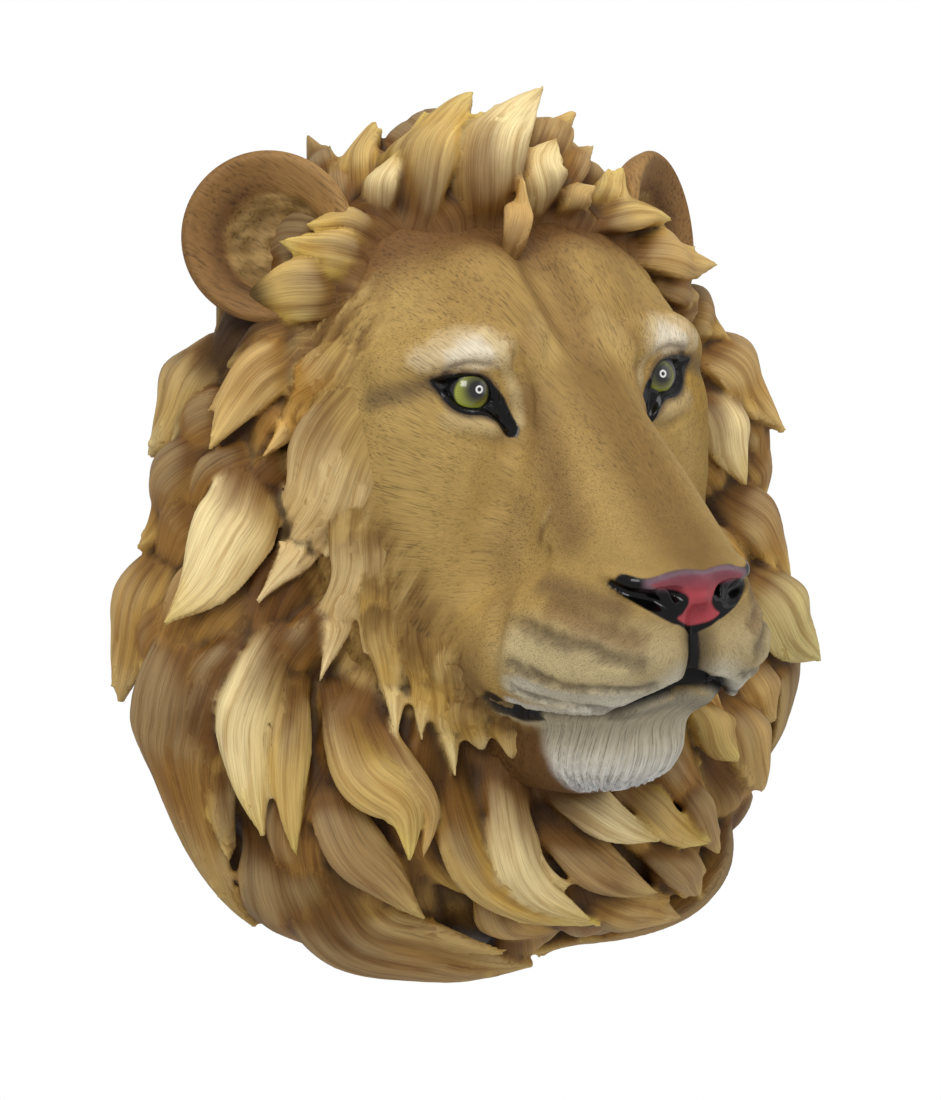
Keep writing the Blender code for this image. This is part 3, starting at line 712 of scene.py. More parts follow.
opening = smooth_outline(OPENING)
points = points_of(clay)
side = np.where(points[:, 0] < 0, -1.0, 1.0)
across = np.abs(points[:, 0])
near = (from_eye(points) < EYE_AREA) & (points[:, 1] < -100)
gap = np.full(len(points), FAR_OFF)
gap[near] = outline_distance(across[near], points[near, 2], opening)
centres = EYE_CENTRE * np.stack([side, 0 * side + 1, 0 * side + 1], -1)
arm = points - centres
reach = np.linalg.norm(arm, axis=1)
lid_pull = smooth_step(13, 1, gap) * smooth_step(21, 16, reach)
lid_reach = EYE_RADIUS + LID
target = np.clip(reach, lid_reach, lid_reach + LID_SLACK)
target = reach + (target - reach) * lid_pull
inside = smooth_step(0.5, -0.9, gap)
sunk = np.minimum(target - WELL, EYE_RADIUS - WELL_INSET)
sunk = np.where(reach > EYE_RADIUS + 5, target - WELL, sunk)
moved = centres + arm * ((target * (1 - inside) + sunk * inside) / reach)[:, None]
set_points(clay, np.where((gap < 20)[:, None], moved, points))
print("openings cut for eyes of radius", EYE_RADIUS, "mm")

# %% [markdown]
# The nose leather stands a little proud of the fur, with a bar along its top. Below the bar each nostril is
# a deep comma, whose tail runs out to the wing; the column between them spreads to a foot. A groove parts
# the whisker pads below it. The skin before these deep cuts is kept, because the paint in them is placed on
# it.

# %% Nose
whole_skin = points_of(clay)
stroke(clay, [(0, -238, 0), (12, -237, 2), (22, -235, -1), (31, -227, 0), (36, -216, 2)], [8, 8, 7, 7, 6],
       [1.5, 2.5, 2.5, 3.5, 2.5])
stroke(clay, [(0, -238, -6), (0, -238, -14)], [9, 8], [2.0, 2.5])
stroke(clay, [(0, -236, -10), (3, -238, -18), (9, -237, -17)], [5, 4, 4], [1.0, 1.5, 1.5])
stroke(clay, [(35, -217, -2), (28, -226, -6.5), (21, -233, -10), (13, -237, -15)], [4.5, 5, 5.5, 4.5],
       [-3.5, -5, -6, -4])
stroke(clay, [(20, -234, -8), (12, -237, -8.5), (8.5, -238, -12)], [5.5, 6, 4.5], [-6, -9, -7])
stroke(clay, [(14, -236, -9.5)], 5, -6)
stroke(clay, [(0, -236, -22), (0, -237, -30), (0, -234, -44), (0, -226, -52)], [5, 5.5, 7, 9],
       [-5, -8, -10, -8])
stroke(clay, [(0, -236, -24), (7, -238, -22), (15, -237, -18), (24, -233, -13)], 3.5, [-3, -4, -3, -1.5])

# %% [markdown]
# The pads hang over the mouth as two soft bags. A sharp line runs under them from the groove to the corner,
# where the lips part. Long shallow folds follow the pads back towards the cheek.

# %% Mouth and pads
stroke(clay, [(14, -236, -36), (34, -226, -38), (50, -204, -40)], [16, 18, 16], [3, 3, 2])
stroke(clay, [(10, -228, -50), (24, -220, -55), (38, -204, -58), (50, -180, -56)], 9, [2, 2.5, 2.5, 2])
stroke(clay, LIP, [6, 6, 6, 6, 6, 6, 5], [-7, -8, -8, -8, -8, -8, -6], crisp=1.4)
stroke(clay, [(45, -163, -61), (48, -157, -60), (51, -154, -57)], [5, 7, 7], [-6, -9, -9], crisp=1.2)


def shifted(path, across, up):
    """The path moved across and up, for the ridge beside a furrow."""
    return [(x + across, y, z + up) for x, y, z in path]


FOLDS = (
    ([(50, -196, -12), (48, -203, -14), (44, -213, -18), (37, -223, -23), (30, -229, -26)], 6.0, 1.2),
    ([(61, -176, -17), (57, -190, -21), (54, -203, -25), (46, -216, -28), (40, -223, -32), (30, -232, -35)],
     5.0, 2.0),
    ([(62, -182, -36), (58, -196, -41), (53, -207, -45), (44, -217, -46), (33, -224, -46), (24, -231, -45)],
     3.6, 1.8),
    ([(59, -178, -47), (51, -192, -52), (45, -202, -55), (39, -209, -55), (31, -216, -55)], 2.8, 1.5),
)
for path, reach, depth in FOLDS:
    stroke(clay, path, reach, [-0.4 * depth] + [-depth] * (len(path) - 2) + [-0.4 * depth])
    stroke(clay, shifted(path, 0, -reach * 0.9), reach, 0.45 * depth)
stroke(clay, [(54, -166, -8), (62, -170, -20), (67, -172, -34), (66, -168, -48)], 7, [-1, -2.5, -2.5, -1.5])

# %% [markdown]
# Smaller wrinkles make the face look at something: the fold over each lid, the ridge that climbs from the
# tear duct to the brow, the furrow of the forehead, and the hollow along the bridge.

# %% Wrinkles
stroke(clay, [(68, -132, 86), (60, -142, 87.5), (50, -146, 87.5), (42, -148, 84), (38, -149, 76)],
       [3, 3.5, 3.5, 3.5, 3], [-0.8, -1.4, -1.6, -1.6, -0.8])
stroke(clay, [(66, -134, 90), (56, -145, 92), (46, -148, 91)], 6, [1.2, 1.8, 1.6])
stroke(clay, [(33, -153, 62), (35, -151, 74), (38, -149, 88), (36, -148, 98), (29, -147, 104)],
       [4, 4.5, 5, 5, 4], [0.8, 1.6, 2.2, 2.0, 1.0])
stroke(clay, [(29, -154, 66), (30, -152, 78), (32, -150, 90), (27, -149, 98)], [3, 3.5, 4, 3.5],
       [-0.8, -1.6, -1.8, -1.0])
stroke(clay, [(25, -153, 88), (19, -149, 98), (15, -144, 108)], 7, [1.0, 1.6, 1.0])
stroke(clay, [(36, -152, 55), (46, -148, 60), (57, -142, 62), (66, -136, 67)], 5, [1.0, 1.2, 1.2, 0.6])
stroke(clay, [(38, -153, 49), (50, -148, 54), (62, -140, 58)], 4, [-0.8, -1.0, -0.6])
stroke(clay, [(34, -172, 40), (38, -166, 24), (42, -166, 12)], 10, [-1.0, -2.0, -2.0])
stroke(clay, [(44, -152, 34), (45, -153, 28)], 5, -1.2)
stroke(clay, [(6, -150, 100), (9, -140, 112), (9, -126, 124)], 5, [-0.6, -1.2, -0.8])
MUZZLE_WRINKLES = (
    [(43, -168, 14), (52, -170, 2), (60, -170, -12)],
    [(40, -180, 10), (50, -182, -2), (58, -180, -14)],
    [(50, -158, 16), (60, -158, 2), (68, -154, -14)],
    [(36, -178, 24), (41, -172, 12), (46, -168, 4)],
)
WRINKLE_STEP = 3
for path in MUZZLE_WRINKLES:
    stroke(clay, path, 3.5, [-0.6, -1.3, -0.6])
    stroke(clay, shifted(path, WRINKLE_STEP, WRINKLE_STEP), 4, [0.4, 1.0, 0.4])

# %% [markdown]
# Towards the mane the fur grows longer and sweeps down and back in tufts. They are read along that flow.

# %% Tufts at the cheeks' edge
CHEEK_EDGE = [(101, -66, 70), (101, -84, 34), (96, -98, 4), (86, -110, -22), (69, -122, -48), (44, -128, -72)]
points, normals = points_of(clay), normals_of(clay)
flow = np.array([ACROSS_FLOW, CHEEK_FLOW.cross(ACROSS_FLOW), CHEEK_FLOW]).T
tufts = soft_noise(on_left(points) @ flow * (0.24, 0.24, 0.024), 41)
tufts = tufts + 0.6 * soft_noise(on_left(points) @ flow * (0.5, 0.5, 0.04), 42)
long_hair = stroke_weight(points, [(92, -84, 104)] + CHEEK_EDGE, 36, 1.0)[0]
long_hair = np.clip(long_hair * 1.5, 0, 1)
set_points(clay, points + normals * (long_hair * tufts * 1.3)[:, None])

# %% [markdown]
# The chin carries coarse white hair, combed straight down all round it. Its ridges are read from the angle
# round an upright line through the chin. The chin is first set back a little under the lip, and its lower
# edge hangs down in points, one for each ridge.

# %% Chin ridges
CHIN_LINE = (0, -166)
CHIN_SET_BACK = 7
CHIN_NARROWER = 0.08
POINT_LENGTH = 6.5
points, normals = points_of(clay), normals_of(clay)
turn = np.arctan2(points[:, 0] - CHIN_LINE[0], CHIN_LINE[1] - points[:, 1])
chin = smooth_step(-54, -62, points[:, 2]) * smooth_step(1.75, 1.4, np.abs(turn))
chin = chin * smooth_step(-152, -168, points[:, 1] + 5 * soft_noise(points * 0.2, 51))
comb = turn / np.interp(points[:, 2], [-108, -60], [1.2, 0.72])
comb = comb + 0.05 * soft_noise(points * (0.05, 0.05, 0.03), 3)
ridges = np.abs(np.sin(comb * 19 + 1.5 * soft_noise(points * (0.03, 0.03, 0.01), 13)))
low = smooth_step(-86, -104, points[:, 2]) * chin
set_back = smooth_step(-52, -66, points[:, 2]) * smooth_step(-150, -190, points[:, 1])
points[:, 1] += CHIN_SET_BACK * set_back
points[:, 0] *= 1 - CHIN_NARROWER * set_back
ridge_height = chin * (ridges * 1.2 - 0.6) * np.interp(points[:, 2], [-104, -66], [1.3, 0.4])
points = points + normals * ridge_height[:, None]
points[:, 2] += low * (1.5 + POINT_LENGTH * (1 - ridges))
set_points(clay, points)

# %% [markdown]
# The airbrush work is a colour on every vertex, laid on by the same kind of strokes as the carving: tan all
# over, brown along the bridge, under the hairline and towards the mane, and paler on the cheeks. Painted
# shade and painted highlight go on with it: on the carved tufts and wrinkles, and as a deeper tan on the far
# cheek alone, against the fill light's pale sheen. Two more values go with it: gloss, for the wet black and
# the nose, and fur, which lets the hair strokes show.

# %% Airbrushed ground
points = points_of(clay)
colours = np.broadcast_to(paint(180, 147, 84), (len(points), 3)).copy()
gloss, fur = np.zeros(len(points)), np.ones(len(points))
HAIRLINE = [(97, -60, 90), (85, -73, 116), (66, -84, 134), (40, -92, 143), (0, -104, 142)]
FAR_CHEEK_SHADED = [(74, -120, 70), (76, -114, 44), (70, -116, 12)]
TUFT_SHADE, TUFT_HIGHLIGHT = paint(104, 70, 32), paint(210, 178, 112)


def brush(path, reach, colour, strength, crisp=1.5, twins=True, skin=points):
    """Lay a colour along a path."""
    weight, _ = stroke_weight(skin, path, reach, crisp, twins)
    colours[:] = blend(colours, colour, np.clip(weight * strength * 1.25, 0, 1))


brush([(66, -130, 52), (72, -128, 22), (68, -136, -12)], 30, paint(192, 159, 92), 0.6)
brush([(0, -166, 78), (0, -200, 36), (0, -228, 12)], 26, paint(138, 106, 54), 0.9)
brush([(28, -152, 72), (31, -172, 44), (36, -192, 18)], 15, paint(144, 112, 66), 0.7)
brush([(88, -112, 24), (82, -124, -8), (70, -136, -32)], 24, paint(146, 112, 58), 0.5)
brush([(36, -132, 108), (40, -112, 126)], 30, paint(162, 128, 68), 0.7)
brush(HAIRLINE, 30, paint(122, 86, 46), 0.85)
brush(CHEEK_EDGE, 30, paint(130, 96, 46), 0.7)
# The tufts are painted darker where the carving sinks them and paler where it raises them: painted shade and
# painted highlight.
colours[:] = blend(colours, TUFT_SHADE, long_hair * np.clip(-tufts * 1.5, 0, 1) * 0.75)
colours[:] = blend(colours, TUFT_HIGHLIGHT, long_hair * np.clip(tufts * 1.5 - 0.3, 0, 1) * 0.7)
brush([(0, -150, 84), (5, -140, 104), (8, -120, 126)], 12, paint(124, 90, 46), 0.5)
brush([(24, -150, 96), (16, -146, 108)], 10, paint(146, 112, 66), 0.5)
# The far cheek alone is painted a deeper, yellower tan: painted shade against the pale sheen of the fill
# light.
brush(FAR_CHEEK_SHADED, 36, paint(168, 130, 44), 0.9, twins=False)
brush([(40, -160, 26), (46, -155, 6), (54, -165, -12)], 12, paint(150, 120, 74), 0.4)
# Each wrinkle is painted dark in its carved furrow and pale on the ridge beside it: painted shade and painted
# highlight.
for path in MUZZLE_WRINKLES:
    brush(path, 3, paint(112, 84, 50), 0.55)
    brush(shifted(path, WRINKLE_STEP, WRINKLE_STEP), 3, paint(206, 180, 126), 0.45)
brush([(57, -158, -34), (62, -150, -52), (54, -150, -68)], 14, paint(140, 110, 70), 0.6)
print("airbrushed", len(points), "points")

# %% [markdown]
# A dry brush leaves ragged edges. They come from reading the strokes at places that noise has moved a
# little: cream over the eyes, with a paler heart, a light ridge beside the tear duct, and dark lines in the
# lid's fold; the one just under the fold is painted shade under the overhanging lid.

# %% Brows and lids
RAGGED_BY = 2.0
ragged = points + RAGGED_BY * np.stack([soft_noise(points * 0.3, k) for k in (31, 32, 33)], -1)
brush([(42, -147, 94), (52, -144, 96), (62, -141, 94), (73, -135, 91)], [12, 17, 16, 8],
      paint(216, 192, 148), 0.75, crisp=2.0, skin=ragged)
brush([(45, -147, 93), (52, -145, 94), (60, -142, 91)], [9, 11, 7],
      paint(238, 228, 206), 0.6, crisp=1.8, skin=ragged)
brush([(45, -143, 102), (41, -148, 95), (37, -148, 85), (33, -148, 74), (32, -148, 62)], 4.2,
      paint(212, 188, 136), 0.6)
brush([(19, -151, 92), (16, -146, 104)], 9, paint(190, 160, 98), 0.5)
brush([(40, -152, 57), (50, -147, 62), (62, -140, 65)], 7, paint(190, 166, 118), 0.6)
brush([(69, -134, 81), (78, -127, 77), (86, -118, 74)], 8, paint(104, 82, 56), 0.6)
brush([(68, -132, 87), (60, -142, 88), (50, -146, 88), (42, -148, 85)], 3.2, paint(176, 162, 138), 0.6)
# A dark line just under the lid's fold: painted shade under the overhanging lid.
brush([(68, -132, 84), (60, -142, 85.5), (50, -146, 85.5), (42, -148, 82), (38, -149, 75)], 2.0,
      paint(74, 58, 44), 0.8)
print("brows and lids painted")

# %% [markdown]
# The whisker pads turn from tan above to cream and white at the mouth, with a brown painted shade in each
# fold.

# %% Whisker pads
FOLD_SHADES = (paint(124, 92, 56), paint(98, 82, 58), paint(96, 84, 64), paint(98, 88, 72))
brush([(18, -238, -34), (40, -222, -34), (60, -190, -34)], 26, paint(186, 166, 122), 0.8)
brush([(60, -184, -28), (56, -200, -34), (46, -215, -38), (34, -226, -40)], 9, paint(212, 192, 142), 0.7)
brush([(12, -230, -45), (34, -214, -50), (50, -192, -50), (58, -178, -46)], [13, 13, 12, 8],
      paint(216, 206, 178), 0.9)
brush([(12, -230, -50), (34, -212, -58), (46, -190, -60), (54, -170, -54)], [7, 7, 6, 5],
      paint(226, 222, 210), 0.9)
# Each carved fold is painted darker brown: painted shade.
for (path, reach, _), tone in zip(FOLDS, FOLD_SHADES):
    brush(path, reach * 1.1, tone, 0.55, crisp=1.2, skin=ragged)
brush([(48, -186, -2), (42, -206, -8), (34, -222, -12)], 9, paint(126, 98, 62), 0.7)
brush([(60, -184, -44), (52, -202, -50), (42, -212, -51), (28, -224, -51)], 5, paint(216, 208, 186), 0.7)
print("folds painted:", len(FOLDS))

# %% [markdown]
# The chin is white at its tips and greyer at the roots, from the line of the mouth down, and brown behind.
# Painted shade lies between its ridges, under the middle of the pads, along the mouth's line and on both
# sides of the groove. The mouth's line, its corner and the groove between the pads are a wet black.

# %% Chin and mouth
CHIN_TONES = ((-98, paint(252, 250, 246)), (-88, paint(240, 235, 222)), (-76, paint(214, 204, 178)),
              (-62, paint(190, 178, 148)))
MOUTH_CORNER = [(40, -172, -61), (44, -160, -60), (50, -155, -57), (56, -160, -54)]
colours[:] = blend(colours, paint(112, 78, 40), smooth_step(-62, -74, points[:, 2]))
under_lip = smooth_step(-48, -54, points[:, 2]) * smooth_step(-227, -219, points[:, 1])
under_lip = under_lip * smooth_step(30, 20, np.abs(points[:, 0])) * smooth_step(-168, -182, points[:, 1])
colours[:] = blend(colours, ramp(points[:, 2], CHIN_TONES), np.maximum(chin, under_lip))
# The hollows between the chin's carved ridges are painted greyer: painted shade.
colours[:] = blend(colours, paint(166, 150, 120), np.clip(chin * (1 - ridges) * 1.2 - 0.2, 0, 1) * 0.4)
# A dark grey patch under the middle of the pads: painted shadow.
brush([(0, -218, -52), (12, -214, -56), (24, -208, -60)], [8, 7, 6],
      paint(96, 90, 82), 0.5, crisp=1.2, skin=whole_skin)
# A greyer band along the mouth's line, under the pads: painted shade.
brush(LIP, 7, paint(110, 98, 80), 0.4, crisp=1.4, skin=whole_skin)
brush([(46, -148, -64), (42, -156, -67), (38, -166, -67)], 4, paint(196, 180, 144), 0.7, skin=whole_skin)

off_middle, forward, level = np.abs(whole_skin[:, 0]), whole_skin[:, 1], whole_skin[:, 2]
groove_half = np.interp(level, [-52, -44, -22], [7.0, 5.0, 3.2])
groove = smooth_step(groove_half, groove_half * 0.4, off_middle) * (forward < -200)
groove = groove * smooth_step(-17, -22, level) * smooth_step(-54, -47, level)
# Darker brown on both sides of the groove between the pads: painted shade.
groove_side_shade = smooth_step(13, 3, off_middle) * (forward < -212)
groove_side_shade = groove_side_shade * smooth_step(-16, -28, level) * smooth_step(-54, -48, level)
colours[:] = blend(colours, paint(80, 70, 56), groove_side_shade * 0.75)
lip_line, _ = stroke_weight(whole_skin, LIP, 5.2, 0.9)
corner, _ = stroke_weight(whole_skin, MOUTH_CORNER, [5, 8.5, 9, 6], 0.6)
for weight, tone, wet in ((lip_line, paint(34, 30, 28), 0.3), (groove, paint(30, 28, 28), 0.3),
                          (corner, paint(34, 32, 33), 0.5)):
    colours[:] = blend(colours, tone, np.clip(weight * 1.6, 0, 1))
    gloss, fur = np.maximum(gloss, weight * wet), np.minimum(fur, 1 - weight)
print("share of the skin in the chin:", round(float(chin.mean()), 3))

# %% [markdown]
# The nose is painted to outlines on the front view instead, because its edges are crisp: black leather with
# a wet gloss, and the rosy part inside it, which is greyer along the top.

# %% Nose leather
LEATHER = [(0, 2.2), (8, 3.4), (15, 3.2), (22, 1.2), (27, 0.8), (32, 2.6), (34.5, 0), (33, -5), (28, -10),
           (21, -15), (14, -19), (10, -20.5), (5, -23.5), (0, -26), (-5, -23.5), (-5, 3)]
PINK = [(0, 0.6), (10, 1.4), (16, 0.6), (24, -1.8), (20, -4), (12, -5.2), (7, -8), (6.2, -12), (8.5, -15.5),
        (11, -17.5), (6, -20.5), (0, -22), (-5, -20), (-5, 1)]
BLACK = paint(6, 6, 6)
across, level = np.abs(points[:, 0]), points[:, 2]
nose = (across < 42) & (points[:, 1] < -206) & (np.abs(level + 10) < 24)


def from_outline(outline, where):
    """Each point's distance to an outline on the front view, worked out only where asked."""
    distance = np.full(len(points), FAR_OFF)
    distance[where] = outline_distance(across[where], level[where], outline)
    return distance


leather, pink = (from_outline(smooth_outline(edge), nose) for edge in (LEATHER, PINK))
inner = smooth_step(0.5, -0.3, leather)
rosy = smooth_step(0.5, -0.7, pink)
upper = smooth_step(-7, -2, level) * smooth_step(4.5, 0.5, pink)
colours = blend(colours, blend(BLACK, paint(128, 98, 108), upper), inner)
colours = blend(colours, blend(paint(186, 76, 84), paint(138, 76, 88), smooth_step(-8, 1, level)), rosy)
gloss = np.maximum(gloss, inner * (1 - 0.35 * rosy))
fur = np.minimum(fur, 1 - inner)
print("share of glossy skin:", round(float(gloss.mean()), 3))

# %% [markdown]
# The rims of the eyes are black and wet, wider at the tear duct, with a brown shade round them.

# %% Eye rims
gap = from_outline(opening, near)
colours = blend(colours, paint(84, 66, 50), smooth_step(4.0, 1.2, gap) * 0.75)
duct = smooth_step(44, 37, across) * smooth_step(80, 72, level)
rim = smooth_step(1.5, 0.6, gap - 2.0 * duct)
colours = blend(colours, BLACK, rim)
gloss, fur = np.maximum(gloss, rim), np.minimum(fur, 1 - rim)
print("share of glossy skin with the rims:", round(float(gloss.mean()), 3))

# %% [markdown]
# The head is cocked by a couple of degrees, as the construction model is, and shrunk to metres.

# %% Finish the face
FACE_TILT = math.radians(2.3)
TILT_HEIGHT = 30


def cock(points, way=1):
    """Turn points about a line along Y through the middle of the face, or back where way is -1."""
    turned = points.copy()
    lean = FACE_TILT * way
    x, z = points[..., 0], points[..., 2] - TILT_HEIGHT
    turned[..., 0] = x * math.cos(lean) - z * math.sin(lean)
    turned[..., 2] = TILT_HEIGHT + z * math.cos(lean) + x * math.sin(lean)
    return turned


mottle = 1 + 0.05 * soft_noise(points * 0.12, 5) + 0.05 * soft_noise(points * 0.4, 6)
face_colours = np.clip(colours * mottle[:, None], 0, 1)
give_colour(clay, "paint", face_colours)
for attribute, values in (("gloss", gloss), ("fur", fur), ("chin", chin), ("comb", comb),
                          ("long_hair", long_hair)):
    give_number(clay, attribute, values)
face_place = cock(points)
set_points(clay, face_place * MM)
clay.materials.append(fur_paint)
clay.shade_smooth()
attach(face, "root")
print("face:", len(clay.polygons), "faces")

# %% [markdown]
# An eye is a polished ball. The iris is painted on it round the direction the lion looks in: yellow-green,
# brightest low and outside, with a soft dark pupil set high towards the ring and a black ball round it; its
# darker upper part is partly painted shade from the upper lid. A small white ring is painted on it as a
# painted reflection of a ring light, and a clear coat gives the wet look. EYES gives for each eye its side,
# how many degrees it looks round, and how far across the iris the painted reflection sits.

# %% Eyes
IRIS = 39.0
IRIS_TONES = ((0.0, paint(16, 15, 16)), (0.42, paint(32, 31, 28)), (0.64, paint(88, 88, 40)),
              (0.92, paint(142, 146, 50)), (1.2, paint(166, 174, 60)), (1.5, paint(176, 182, 80)))
IRIS_EDGE = paint(52, 56, 20)
EYE_BLACK = paint(6, 6, 7)
FIBRES = 34
# Where the white ring, a painted reflection of a ring light, sits on the iris, and its size.
REFLECTION_UP = 0.20
REFLECTION_RADIUS = 0.17
EYES = (("right_eye", -1, -20.0, -0.42), ("left_eye", 1, -6.0, -0.08))


def eye_material():
    pen = Pen("painted eye under clear gloss")
    return pen.finish(Base_Color=pen.attribute("paint"), Roughness=0.2, Coat_Weight=0.55, Coat_Roughness=0.03)


eye_paint = eye_material()
for node, side, look, reflection_at in EYES:
    eyeball, unit = ball(segments=144, rings=120)
    eyeball.name = node + "_ball"
    centre = cock(EYE_CENTRE[None] * (side, 1, 1))[0]
    gaze = unit_vector(np.array((math.sin(math.radians(look)), -math.cos(math.radians(look)), -0.02)))
    across_eye = unit_vector(np.cross(gaze, (0, 0, 1)))
    up_eye = np.cross(across_eye, gaze)
    place = unit[:, :1] * across_eye + unit[:, 1:2] * up_eye + unit[:, 2:] * gaze
    set_points(eyeball.data, (centre + EYE_RADIUS * place) * MM)
    angle = np.degrees(np.arccos(np.clip(unit[:, 2], -1, 1)))
    on_iris = unit[:, :2] / np.sin(math.radians(IRIS))
    # The dark of the pupil is set high, towards the ring, so the iris is darker up under the lid: partly
    # painted shade from the upper lid.
    pupil = np.hypot(on_iris[:, 0] - reflection_at * 0.7, on_iris[:, 1] - 0.18)
    fibres = 1 + 0.10 * np.sin(np.arctan2(unit[:, 1], unit[:, 0]) * FIBRES)
    iris = ramp(pupil, IRIS_TONES) * fibres[:, None]
    iris = blend(iris, IRIS_EDGE, smooth_step(IRIS - 6, IRIS - 1, angle))
    iris = blend(iris, EYE_BLACK, smooth_step(IRIS - 1.5, IRIS + 1.5, angle))
    # A thin white ring painted on the ball: a painted reflection of a ring light.
    ring = np.abs(np.hypot(on_iris[:, 0] - reflection_at, on_iris[:, 1] - REFLECTION_UP) - REFLECTION_RADIUS)
    painted_reflection = smooth_step(0.07, 0.03, ring) * (unit[:, 2] > 0)
    give_colour(eyeball.data, "paint", blend(iris, paint(250, 250, 250), painted_reflection))
    eyeball.data.materials.append(eye_paint)
    eyeball.data.shade_smooth()
    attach(eyeball, "root")
    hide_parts(node)
    print(node, "looks", look, "degrees round from straight ahead")

# %% [markdown]
# The mane needs a map: a smooth envelope that a place is named on by a clock angle (0 up, 90 towards the
# lion's left, as seen from the front) and a ring (0 at the face, 1 at the wall, below 0 on the face). The
# four lists go round the clock in steps of 30 degrees and match the construction model. Where the envelope
# would run under the skin of the face, it is pushed out to it.

# %% The mane's envelope
MANE_CENTRE = 20
CLOCK_STEP, RING_STEP = 3.0, 0.03
FACE_EDGE = [125, 122, 102, 90, 98, 108, 115, 108, 98, 90, 102, 122]
FACE_DEPTH = [98, 88, 74, 72, 92, 122, 132, 122, 92, 72, 74, 88]
WALL_EDGE = [165, 160, 140, 146, 170, 198, 210, 192, 160, 123, 127, 148]
SWELL = [4, 4, 18, 30, 42, 32, 10, 20, 22, 18, 6, 4]
FACE_INWARD = 80
FACE_FORWARD = 110


def round_clock(values, clock):
    """Read a list that goes round the clock, smoothly between its steps."""
    values = np.asarray(values, float)
    place = (np.asarray(clock, float) % 360) / 360 * len(values)
    step = np.floor(place).astype(int)
    part = place - step
    part = part * part * (3 - 2 * part)
    return values[step % len(values)] * (1 - part) + values[(step + 1) % len(values)] * part


def shell(clock, ring):
    """The point of the envelope at a clock angle and a ring, in millimetres."""
    clock, ring = np.broadcast_arrays(np.asarray(clock, float), np.asarray(ring, float))
    turn = np.clip(ring, 0, 1) * math.pi / 2
    inward = np.minimum(ring, 0)
    edge, wall = round_clock(FACE_EDGE, clock), round_clock(WALL_EDGE, clock)
    radius = edge + (wall - edge) * np.sin(turn) + round_clock(SWELL, clock) * np.sin(2 * turn)
    radius = radius + FACE_INWARD * inward
    depth = round_clock(FACE_DEPTH, clock) * np.cos(turn) ** 0.8 - FACE_FORWARD * inward
    angle = np.radians(clock)
    return np.stack([radius * np.sin(angle), -depth, MANE_CENTRE + radius * np.cos(angle)], -1)


def mane_point(clock, ring):
    """The envelope, pushed out to the skin of the face wherever it would lie under it."""
    place = cock(shell(clock, ring), -1)
    x, y, z = place[..., 0], place[..., 1] + SECTION_AXIS, place[..., 2]
    skin = head_radius(np.arctan2(x, -y), np.clip(z, SECTIONS[0][0], SECTIONS[-1][0]))
    part = np.clip((z + 100) / 30, 0, 1) * np.clip((156 - z) / 20, 0, 1)
    push = 1 + (np.maximum(skin / np.maximum(np.hypot(x, y), 1), 1) - 1) * part
    return cock(np.stack([x * push, y * push - SECTION_AXIS, z], -1), 1)


def mane_normal(clock, ring):
    ring = np.clip(ring, -0.6, 0.96)
    along = mane_point(clock + CLOCK_STEP, ring) - mane_point(clock - CLOCK_STEP, ring)
    across = mane_point(clock, ring + RING_STEP) - mane_point(clock, ring - RING_STEP)
    return unit_vector(np.cross(along, across))


print("mane at the wall, top and bottom:", shell(0, 1).round(1), shell(180, 1).round(1))

# %% [markdown]
# A lock's spine is a smooth curve through two to four places on the envelope. It starts under the surface,
# comes out of it, stands lift over it, and its tip curls away.

# %% A lock's spine
ROOT_WIDTH = 0.62
ROOT_COVER = 2.5
CROWN = 0.42
ROOT_CROWN = 0.4
SMOOTH_TURNS = 3


def smooth_route(route, count):
    """Places along a smooth curve through a lock's control points."""
    route = np.asarray(route, float)
    turns = (np.diff(route[:, 0]) + 180) % 360 - 180
    route[1:, 0] = route[0, 0] + np.cumsum(turns)
    padded = np.concatenate([2 * route[:1] - route[1:2], route, 2 * route[-1:] - route[-2:-1]])
    place = np.linspace(0, len(route) - 1, count)
    step = np.minimum(place.astype(int), len(route) - 2)
    t = (place - step)[:, None]
    a, b, c, d = (padded[step + k] for k in range(4))
    bend = (2 * a - 5 * b + 4 * c - d) * t ** 2 + (3 * b - a - 3 * c + d) * t ** 3
    return 0.5 * (2 * b + (c - a) * t + bend)


def lock_spine(route, width, lift, curl, stations):
    """The points of a lock's spine, and the way out of the mane at each."""
    path = smooth_route(route, stations)
    t = np.linspace(0, 1, stations)
    out = mane_normal(path[:, 0], path[:, 1])
    for _ in range(SMOOTH_TURNS):
        out[1:-1] = unit_vector(out[:-2] + out[1:-1] * 2 + out[2:])
    buried = ROOT_CROWN * CROWN * ROOT_WIDTH * width / 2 + ROOT_COVER
    rise = lift * smooth_step(0, 0.5, t) - buried * (1 - smooth_step(0, 0.32, t))
    rise = rise + curl * np.clip((t - 0.6) / 0.4, 0, 1) ** 1.5
    return mane_point(path[:, 0], path[:, 1]) + out * rise[:, None], out


def leaf_width(t):
    """A lock's width along it, as a share: widest before its middle, then down to a sharp point."""
    body = ROOT_WIDTH + (1 - ROOT_WIDTH) * smooth_step(0, 0.4, t)
    taper = np.clip((1 - t) / 0.58, 0, 1)
    return np.maximum(body * taper * (1.6 - 0.6 * taper), 0.05)


print("a lock's width along it:", leaf_width(np.linspace(0, 1, 6)).round(2))

# %% [markdown]
# All the locks go into one mesh. With their skins are kept, for every point of a lock's top, its paint,
# where it lies on the lock in millimetres, which way the hair runs and which way lies across it, and how
# far along the lock it is. The skin that the locks are fused into later reads all this from them.

# %% Gather the locks
KINDS = ("place", "colour", "strand", "heading", "aside", "share", "leaf")


